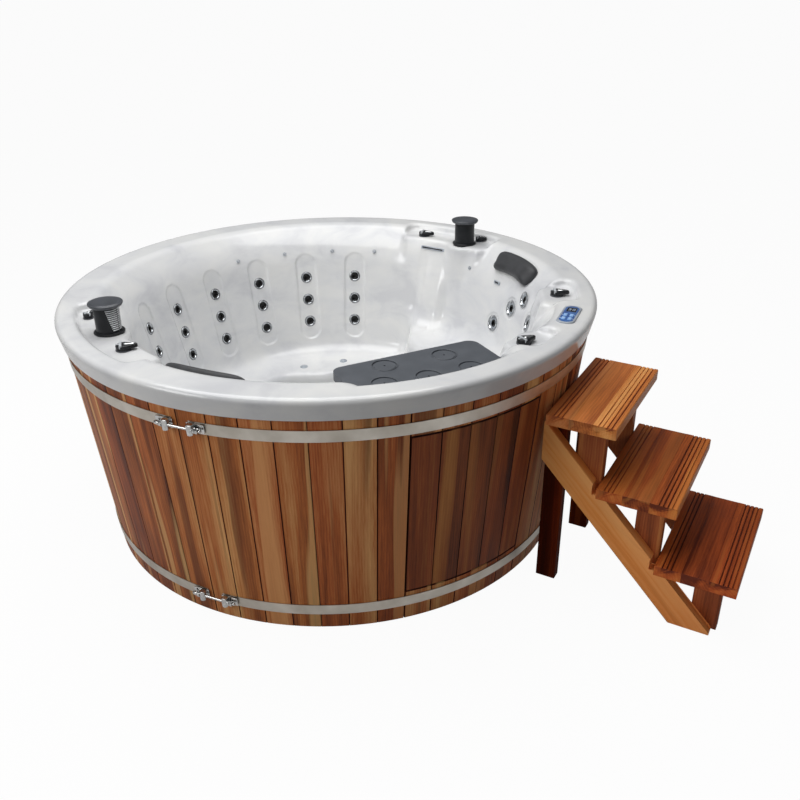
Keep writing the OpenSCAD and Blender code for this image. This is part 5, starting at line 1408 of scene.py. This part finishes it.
def spouts():
    """Flat spouts with a dark slit. Each stands off the round wall by the wall's own bow."""
    piece = Piece("wide_water_spouts")
    for az, z, length in SPOUTS:
        bow = wall_r(z) - math.sqrt(wall_r(z) ** 2 - (length / 2) ** 2) + 0.0003
        place = on_wall(az, z) @ moved(0, 0, -bow - 0.0014)
        piece.put(rounded_box((0.0145, length, 0.0042), 0.0018, 3), SILVER, place)
        slit = rounded_box((0.0055, length - 0.014, 0.0016), 0.0006, 2)
        piece.put(slit, BLACK_GLOSS, place @ moved(0, 0, -0.0018))
    piece.done("tub", "water_spouts", slot="satin_fitting", edge=40)


def lights():
    """Small domed lenses in silver rings, just above the water."""
    lens = turned([(0.0, -0.0042), (0.0035, -0.0039), (0.0060, -0.0028), (0.0068, -0.0014)], 28)
    ring = turned([(0.0066, -0.0022), (0.0074, -0.0026), (0.0081, -0.0018), (0.0083, 0.0004)], 28)
    piece = Piece("waterline_light_lenses")
    for az, z in LIGHTS:
        piece.put(lens, LENS, on_wall(az, z)).put(ring, SILVER, on_wall(az, z))
    piece.done("tub", "waterline_lights", slot="lens_plastic", edge=50)


def seat_air():
    """Low discs in the bench, each with a ring of six air holes."""
    disc = turned([(0.0172, 0.0), (0.0170, 0.0022), (0.0155, 0.0034), (0.006, 0.0042),
                   (0.0, 0.0044)], 40)
    hole = turned([(0.0017, 0.0036), (0.0014, 0.0043), (0.0, 0.0040)], 12)
    piece = Piece("seat_air_discs")
    for x, y in SEAT_AIRS:
        place = moved(x, y, BENCH_Z)
        piece.put(disc, SILVER, place)
        for k in range(6):
            piece.put(hole, BLACK_GLOSS, place @ spun(60 * k) @ moved(0.01, 0, 0))
    piece.done("tub", "seat_air_fittings", slot="satin_fitting", edge=50)


# ---------------------------------------------------------------- hoop hardware

# barrels on both sides of the gap, and the bolt's axis in front of the strap
BARREL_Y, BARREL_H, BOLT_X, STRAP_W = 0.044, 0.0185, 0.013, 0.032

# the bolt: half its length, and its thread's start, pitch and number of turns
BOLT_HALF, THREAD_Y, THREAD_PITCH, THREAD_TURNS = 0.0848, -0.078, 0.0034, 46

# along the bolt: where its nuts and washers start
NUT_YS, WASHER_YS = (-0.0643, 0.0553, 0.0658), (-0.0553, 0.0543)


def hex_nut(across, thick):
    """Six-sided nut, a width across its flats, with the corners of both faces turned off."""
    # a hexagon's corners are this much further out than its flats
    to_corner = 1.155
    rings = []
    for z, k in ((0, 0.93), (thick * 0.12, 1.0), (thick * 0.88, 1.0), (thick, 0.93)):
        ring = []
        for i in range(24):
            a = 15 * i
            flat = across / 2 / math.cos(math.radians((a + 30) % 60 - 30))
            r = min(flat, across / 2 * to_corner * k)
            ring.append((r * math.cos(math.radians(a)), r * math.sin(math.radians(a)), z))
        rings.append(ring)
    return lofted(rings)


def hoop_lug(lugs, place, s):
    """Barrel on one side of the gap, -1 or 1, with strap folded round it: the long leaf runs
    back along the hoop, the short one towards the gap."""
    barrel = turned([(0, -BARREL_H), (0.0088, -BARREL_H), (0.0106, -0.0172), (0.011, -0.0150),
                     (0.011, 0.0150), (0.0106, 0.0172), (0.0088, BARREL_H), (0, BARREL_H)], 32)
    lugs.put(barrel, BRIGHT, place @ moved(BOLT_X, s * BARREL_Y, 0))
    for side, length in ((s, 0.034), (-s, 0.010)):
        leaf = rounded_box((0.013, 0.003, STRAP_W), 0.0011, 2)
        lugs.put(leaf, BRIGHT, place @ moved(0.0062, s * BARREL_Y + side * 0.0093, 0))
        flat = rounded_box((0.0026, length, STRAP_W), 0.0011, 2)
        middle = s * BARREL_Y + side * (0.009 + length / 2)
        lugs.put(flat, BRIGHT, place @ moved(0.0011, middle, 0))


def draw_bolt(bolts, place):
    """Bolt with a rolled thread, a domed nut at one end, and nuts and washers on it."""
    dome_end = [(0.0, BOLT_HALF), (0.0028, 0.0842), (0.0046, 0.0820), (0.005, 0.0790)]
    rod = [(r, -y) for r, y in dome_end]
    for k in range(THREAD_TURNS):
        y = THREAD_Y + THREAD_PITCH * k
        rod += [(0.0050, y), (0.0045, y + THREAD_PITCH / 2)]
    rod += dome_end[::-1]
    bolts.put(turned(rod, 20), BRIGHT, place)
    dome = turned([(0.0, -0.0850), (0.0040, -0.0838), (0.0066, -0.0800), (0.0076, -0.0745),
                   (0.0078, -0.0660), (0.0, -0.0660)], 24)
    bolts.put(dome, BRIGHT, place)
    for y in NUT_YS:
        bolts.put(hex_nut(0.017, 0.009), BRIGHT, place @ moved(0, 0, y))
    for y in WASHER_YS:
        washer = turned([(0.0, y), (0.0098, y), (0.0102, y + 0.0004), (0.0102, y + 0.0012),
                         (0.0098, y + 0.0016), (0.0, y + 0.0016)], 28)
        bolts.put(washer, BRIGHT, place)


def hoop_hardware():
    """Two lugs and the bolt that draws them together, on each hoop."""
    lugs, bolts = Piece("folded_hoop_lugs"), Piece("hoop_draw_bolts")
    # the strap's outside is 3.3 mm out from the staves, and leans with them
    lean = Matrix.Rotation(math.atan(STAVE_K), 4, "Y")
    to_side = Matrix.Rotation(-math.pi / 2, 4, "X")
    for z in HOOP_ZS:
        place = standing(DRAW_AZ, stave_r(z) + 0.0033, z) @ lean
        for s in (-1, 1):
            hoop_lug(lugs, place, s)
        draw_bolt(bolts, place @ moved(BOLT_X, 0, 0) @ to_side)
    lugs.done("tub", "hoop_lugs", slot="bright_steel", edge=40)
    bolts.done("tub", "draw_bolts", slot="bright_steel", edge=40)


# ---------------------------------------------------------------- control panel

# bezel with cut corners, the places of keys and marks from its middle, the display's place,
# and the glass's height and how thick and how rounded a printed mark is
CONTROL_W, CONTROL_L, CHAMFER = 0.064, 0.172, 0.016
KEYS_X, KEYS_Y, MARKS_X = 0.011, (-0.014, -0.048), 0.0215
DISPLAY_Y, GLASS_Z, MARK_H, MARK_ROUND = 0.040, 0.0049, 0.0006, 0.00028

# digits: from the display's middle to each, how far apart the segments are across and up, and
# a segment's length and width
DIGIT_X, DIGIT_W, DIGIT_H, SEGMENT_L, SEGMENT_W = 0.0075, 0.0082, 0.0076, 0.0062, 0.0016

# seven segments of a digit: across, up, and whether it stands upright
SEGMENTS = {"a": (0, 1, 0), "b": (0.5, 0.5, 1), "c": (0.5, -0.5, 1), "d": (0, -1, 0),
            "e": (-0.5, -0.5, 1), "f": (-0.5, 0.5, 1), "g": (0, 0, 0)}


def bezel_outline(r, z, inset):
    """Outline of the panel at a height: its ends cut like a lozenge's and rounded to r."""
    hx, hy = CONTROL_W / 2 - inset, CONTROL_L / 2 - inset
    corners = [(hx, hy - CHAMFER), (hx - CHAMFER, hy), (-hx + CHAMFER, hy), (-hx, hy - CHAMFER),
               (-hx, -hy + CHAMFER), (-hx + CHAMFER, -hy), (hx - CHAMFER, -hy),
               (hx, -hy + CHAMFER)]
    ring = []
    for i, p in enumerate(corners):
        before, after = Vector(corners[i - 1]), Vector(corners[(i + 1) % 8])
        p = Vector(p)
        a = p + (before - p).normalized() * r
        b = p + (after - p).normalized() * r
        for k in range(5):
            t = k / 4
            q = a.lerp(p, t).lerp(p.lerp(b, t), t)
            ring.append((q.x, q.y, z))
    return ring


def display_digits(piece, place):
    """Two plain digits on the display, a temperature of 38 degrees."""
    upright_bar = rounded_box((SEGMENT_W, SEGMENT_L, MARK_H), MARK_ROUND, 2)
    level_bar = rounded_box((SEGMENT_L, SEGMENT_W, MARK_H), MARK_ROUND, 2)
    for lit, shift in (("abcdg", -DIGIT_X), ("abcdefg", DIGIT_X)):
        for mark in lit:
            u, v, upright = SEGMENTS[mark]
            at_mark = moved(shift + u * DIGIT_W, DISPLAY_Y + v * DIGIT_H, 0.0056)
            piece.put(upright_bar if upright else level_bar, GLYPH, place @ at_mark)


def soft_key(i, x, y, place):
    """Silicone key printed with a ring and a stroke."""
    key = Piece("soft_key_%d" % i)
    at_key = place @ moved(x, y, 0.0042)
    key.put(rounded_box((0.014, 0.024, 0.0050), 0.0022, 4), KEY_BLUE, at_key)
    ring = turned([(0.0031, 0.0024), (0.0040, 0.0024), (0.0040, 0.0030), (0.0031, 0.0030)],
                  20, closed=True)
    stroke = rounded_box((0.0010, 0.0042, MARK_H), 0.0003, 2)
    key.put(ring, GLYPH, at_key).put(stroke, GLYPH, at_key @ moved(0, 0, 0.0027))
    key.done("key_%d_body" % i, "key_%d" % i, slot="key_plastic", edge=40)


def control_station():
    """Silver bezel with a blue window, two plain digits, and a plain mark beside each key."""
    place = standing(CONTROL_AZ, CONTROL_R, RIM_Z)
    piece = Piece("control_station")
    bezel = lofted([bezel_outline(0.008, z, inset) for z, inset in (
        (-0.004, 0.0), (0.0022, 0.0), (0.0040, 0.0010), (0.0050, 0.0030), (0.0050, 0.0062),
        (0.0038, 0.0076))])
    window = lofted([bezel_outline(0.006, z, inset) for z, inset in (
        (0.0030, 0.0072), (0.0044, 0.0076), (0.0048, 0.0090))])
    glass = rounded_box((0.034, 0.040, 0.0012), 0.0005, 3)
    piece.put(bezel, SILVER, place).put(window, WINDOW, place)
    piece.put(glass, INK, place @ moved(0, DISPLAY_Y, GLASS_Z))
    display_digits(piece, place)
    # a diamond beside each upper key and a square beside each lower one
    mark = rounded_box((0.0038, 0.0038, MARK_H), MARK_ROUND, 2)
    for y, angle in zip(KEYS_Y, (45, 0)):
        for x in (-MARKS_X, MARKS_X):
            piece.put(mark, GLYPH, place @ moved(x, y, GLASS_Z) @ spun(angle))
    piece.done("tub", "control_panel", slot="silver_plastic", edge=40)
    keys = [(x, y) for y in KEYS_Y for x in (-KEYS_X, KEYS_X)]
    for i, (x, y) in enumerate(keys, 1):
        soft_key(i, x, y, place)


# ---------------------------------------------------------------- filter cover and pillows

# cup places on the cover: radius, and turn from the cover's own azimuth
CUPS = ((0.676, -8.4), (0.691, 9.3), (0.800, -11.2), (0.803, -0.8), (0.817, 10))


def cup_rings():
    """Round beads on the filter cover, each the foot of a cup."""
    bead = turned([(0.0401, -0.0004), (0.0403, 0.0014), (0.0411, 0.0023), (0.0424, 0.0024),
                   (0.0435, 0.0016), (0.0441, -0.0004)], 56, closed=True)
    piece = Piece("cup_rings")
    for r, turn in CUPS:
        piece.put(bead, PLATE_ABS, standing(COVER_AZ + turn, r, COVER_Z))
    piece.done("filter_cover_body", slot="grey_plastic", edge=60)


# head pillow: half its length along the flare and half its height up it, how far its back is
# from the flare, how far its ends droop, and the dent that the neck has worn
PILLOW_HALF, PILLOW_H, PILLOW_BACK, PILLOW_SINK = 0.146, 0.0465, 0.004, 0.002
DROOP, END_DROOP, WAIST, DENT = 0.010, 0.006, 0.006, 0.003


def pillow_section(u, crown, points=28):
    """Section of a pillow at u, from -1 to 1 along it, as (up the flare, off the flare) points,
    with the droop that they have there."""
    full = max(1 - abs(u) ** 8, 0.0) ** 0.5
    half = PILLOW_H * (0.10 + 0.90 * full)
    droop = -DROOP * u * u - END_DROOP * (1 - full)
    section = []
    for j in range(points):
        t = 2 * math.pi * j / points
        v, up = math.cos(t), math.sin(t)
        s = half * math.copysign(abs(v) ** 0.72, v) + droop
        # the lower edge draws in at the middle, which makes the pillow a crescent
        s = s + WAIST * (1 - u * u) * max(-v, 0)
        if up >= 0:
            off = PILLOW_BACK + crown * (0.25 + 0.75 * full) * full * up ** 0.62
            off = off - DENT * math.exp(-((s - droop + 0.004) / 0.012) ** 2) * full
        else:
            off = PILLOW_BACK - 0.0045 * (-up) ** 0.5
        section.append((s, off))
    return section, droop


def head_pillow(name, az, crown):
    """Moulded foam pillow on the flare: a crescent, crowned towards the bath, ends turned down."""
    slope = math.atan((LIP_R - wall_r(FLARE_Z)) / (RIM_Z - FLARE_Z))
    mid_r = (LIP_R + wall_r(FLARE_Z)) / 2 - PILLOW_SINK
    mid_z = (RIM_Z + FLARE_Z) / 2 - PILLOW_SINK
    steps = 64
    rings = []
    for i in range(steps + 1):
        u = -1 + 2 * i / steps
        section, droop = pillow_section(u, crown)
        ring = []
        for s, off in section:
            r = mid_r + s * math.sin(slope) - off * math.cos(slope)
            z = mid_z + s * math.cos(slope) + off * math.sin(slope)
            # the pillow is longer at its upper edge, in step with the rim
            up = (s - droop) / PILLOW_H
            length = PILLOW_HALF + 0.010 * up + 0.006 * up ** 2
            a = math.radians(az) + u * length / mid_r
            ring.append((r * math.cos(a), r * math.sin(a), z))
        rings.append(ring)
    piece = Piece("foam_" + name)
    piece.put(lofted(rings), FOAM)
    pillow = piece.done("tub", name, slot="pillow_foam", edge=60)


# ---------------------------------------------------------------- pieces that keep their CAD form

# finish, the record's slot, and how wide the edges are eased
CAD_FINISHES = {
    "upper_hoop": (STRAP, "stainless", 0.0006),
    "lower_hoop": (STRAP, "stainless", 0.0006),
    "filter_cover": (PLATE_ABS, "grey_plastic", 0.0014),
    "valve_bodies": (DARK_ABS, "grey_plastic", 0.0008),
    "base_pan": (PAN, "black_plastic", 0.002),
    "frame_rings": (PLYWOOD, "plywood", 0.001),
    "frame_posts": (PLYWOOD, "plywood", 0.001),
    "footwell_bearers": (PLYWOOD, "plywood", 0.001),
    "jet_bodies": (PIPE, "pipe_plastic", 0),
    "water_rails": (PIPE, "pipe_plastic", 0),
    "air_rails": (PIPE, "pipe_plastic", 0),
    "water_main": (PIPE, "pipe_plastic", 0),
    "air_main": (PIPE, "pipe_plastic", 0),
    "hoses": (HOSE, "hose_rubber", 0),
    "pump_wet_ends": (BLACK_ABS, "black_plastic", 0.001),
    "pump_motors": (PAINT, "motor_paint", 0.001),
    "heater": (BRIGHT, "bright_steel", 0.0006),
    "control_box": (PAINT, "motor_paint", 0.002),
    "air_blower": (BLACK_ABS, "black_plastic", 0.001),
    "suction_grilles": (PALE_ABS, "grey_plastic", 0.0008),
    "drain_fitting": (PALE_ABS, "grey_plastic", 0.0008),
    "filter_canister": (PIPE, "pipe_plastic", 0.0008),
    "filter_cartridge": (FILTER, "filter_cloth", 0),
    "speaker_sleeves": (BLACK_ABS, "black_plastic", 0.0006),
}


def dress_cad_pieces():
    """Gives each solid that stays its finish, and eases its edges so that they catch light."""
    for name, (material, slot, ease) in CAD_FINISHES.items():
        obj = NODES[name]
        obj.data.materials.clear()
        obj.data.materials.append(material)
        if ease:
            soft = obj.modifiers.new("eased edges", "BEVEL")
            soft.width = ease
            soft.segments = 2
            soft.limit_method = "ANGLE"
            soft.angle_limit = math.radians(40)


tub_shell()
skirt()
treads()
side_boards()
for speaker in SPEAKERS:
    pop_up_speaker(speaker)
for knob in KNOBS:
    valve_knob(knob)
jet_nozzles()
for jet in range(1, len(SEAT_JETS) + 1):
    seat_jet(jet)
spouts()
lights()
seat_air()
hoop_hardware()
control_station()
cup_rings()
head_pillow("back_pillow", SEAT_AZ, 0.033)
head_pillow("front_pillow", DRAW_AZ - 0.5, 0.021)
dress_cad_pieces()

# ---------------------------------------------------------------- stage

# how strongly the floor and the room glow to the camera, 1 being white. The floor is glow by
# these shares to the camera and in reflections, and otherwise matt paint, which takes shadows.
FLOOR_GLOW, ROOM_GLOW, GLOW_SHARE, GLOSSY_SHARE = 1.03, 0.97, 0.93, 0.35

# light that the white room itself throws on the object
ROOM_LIGHT = 0.15

# soft boxes: name, where, size across in metres, and power in watts. Both face the tub's middle.
SOFT_BOXES = [("overhead_softbox", (-0.4, 0.1, 3.5), 3.4, 94),
              ("left_softbox", (-3.6, -2.2, 2.6), 1.8, 42)]
TUB_MIDDLE = Vector((0, 0, 0.5))


def white_floor():
    """Matt white floor that looks white to the camera and keeps the object's shadow."""
    size, below = 150, -0.001
    mesh = bpy.data.meshes.new("floor")
    mesh.from_pydata([(-size, -size, below), (size, -size, below), (size, size, below),
                      (-size, size, below)], [], [[0, 1, 2, 3]])
    floor = bpy.data.objects.new("floor", mesh)
    bpy.context.scene.collection.objects.link(floor)
    mat = bpy.data.materials.new("white_floor")
    mat.use_nodes = True
    mat.node_tree.nodes.clear()
    paint = add(mat, "ShaderNodeBsdfDiffuse", {"Color": linear("#c4c4c4")})
    glow = add(mat, "ShaderNodeEmission", {"Color": (1, 1, 1, 1), "Strength": FLOOR_GLOW})
    path = add(mat, "ShaderNodeLightPath")
    dim = add(mat, "ShaderNodeMath", {1: GLOSSY_SHARE}, {0: path.outputs["Is Glossy Ray"]},
              operation="MULTIPLY")
    share = add(mat, "ShaderNodeMath", {1: GLOW_SHARE},
                {0: path.outputs["Is Camera Ray"], 2: dim.outputs[0]},
                operation="MULTIPLY_ADD")
    both = add(mat, "ShaderNodeMixShader", None,
               {0: share.outputs[0], 1: paint.outputs[0], 2: glow.outputs[0]})
    add(mat, "ShaderNodeOutputMaterial", links={"Surface": both.outputs[0]})
    mesh.materials.append(mat)


def white_room():
    """Room that is white to the camera and through glass, and throws little light itself."""
    world = bpy.data.worlds.new("white_room")
    bpy.context.scene.world = world
    world.use_nodes = True
    world.node_tree.nodes.clear()
    path = add(world, "ShaderNodeLightPath")
    seen = add(world, "ShaderNodeMath", None,
               {0: path.outputs["Is Camera Ray"], 1: path.outputs["Is Transmission Ray"]},
               operation="MAXIMUM")
    room = add(world, "ShaderNodeBackground", {"Color": (1, 1, 1, 1), "Strength": ROOM_LIGHT})
    white = add(world, "ShaderNodeBackground", {"Color": (1, 1, 1, 1), "Strength": ROOM_GLOW})
    both = add(world, "ShaderNodeMixShader", None,
               {0: seen.outputs[0], 1: room.outputs[0], 2: white.outputs[0]})
    add(world, "ShaderNodeOutputWorld", links={"Surface": both.outputs[0]})


def hung(name, data, place, aim):
    """Puts a lamp in the scene so that it shines along aim."""
    holder = bpy.data.objects.new(name, data)
    holder.location = place
    holder.rotation_euler = Vector(aim).to_track_quat("-Z", "Y").to_euler()
    bpy.context.scene.collection.objects.link(holder)


def studio_lamps():
    """Two soft boxes, and a narrow soft lamp that opens up the shaded side of the steps."""
    for name, place, size, power in SOFT_BOXES:
        lamp = bpy.data.lights.new(name, "AREA")
        lamp.shape = "DISK"
        lamp.size = size
        lamp.energy = power
        hung(name, lamp, place, TUB_MIDDLE - Vector(place))
    fill = bpy.data.lights.new("step_fill", "SPOT")
    fill.energy = 52
    fill.shadow_soft_size = 0.35
    fill.spot_size = math.radians(27)
    fill.spot_blend = 0.7
    hung("step_fill", fill, (0.1, -3.3, 0.9), (1.15, 2.35, -0.6))


def photo_camera():
    """Camera at the photo's place, solved from the ellipses of the rim, hoops and base."""
    lens = bpy.data.cameras.new("photo_camera")
    lens.sensor_width = 36
    lens.lens = 38.751
    right = Vector((0.9963177, -0.0855878, -0.00507648))
    up = Vector((0.04287872, 0.4461236, 0.89394359))
    back = Vector((-0.07424592, -0.8908695, 0.44815073))
    view = Matrix((right, up, back)).transposed().to_4x4()
    camera = bpy.data.objects.new("photo_camera", lens)
    camera.matrix_world = Matrix.Translation((0, -3.15329771, 1.98071915)) @ view
    bpy.context.scene.collection.objects.link(camera)
    bpy.context.scene.camera = camera


bpy.context.scene.view_settings.view_transform = "Standard"
white_floor()
white_room()
studio_lamps()
photo_camera()
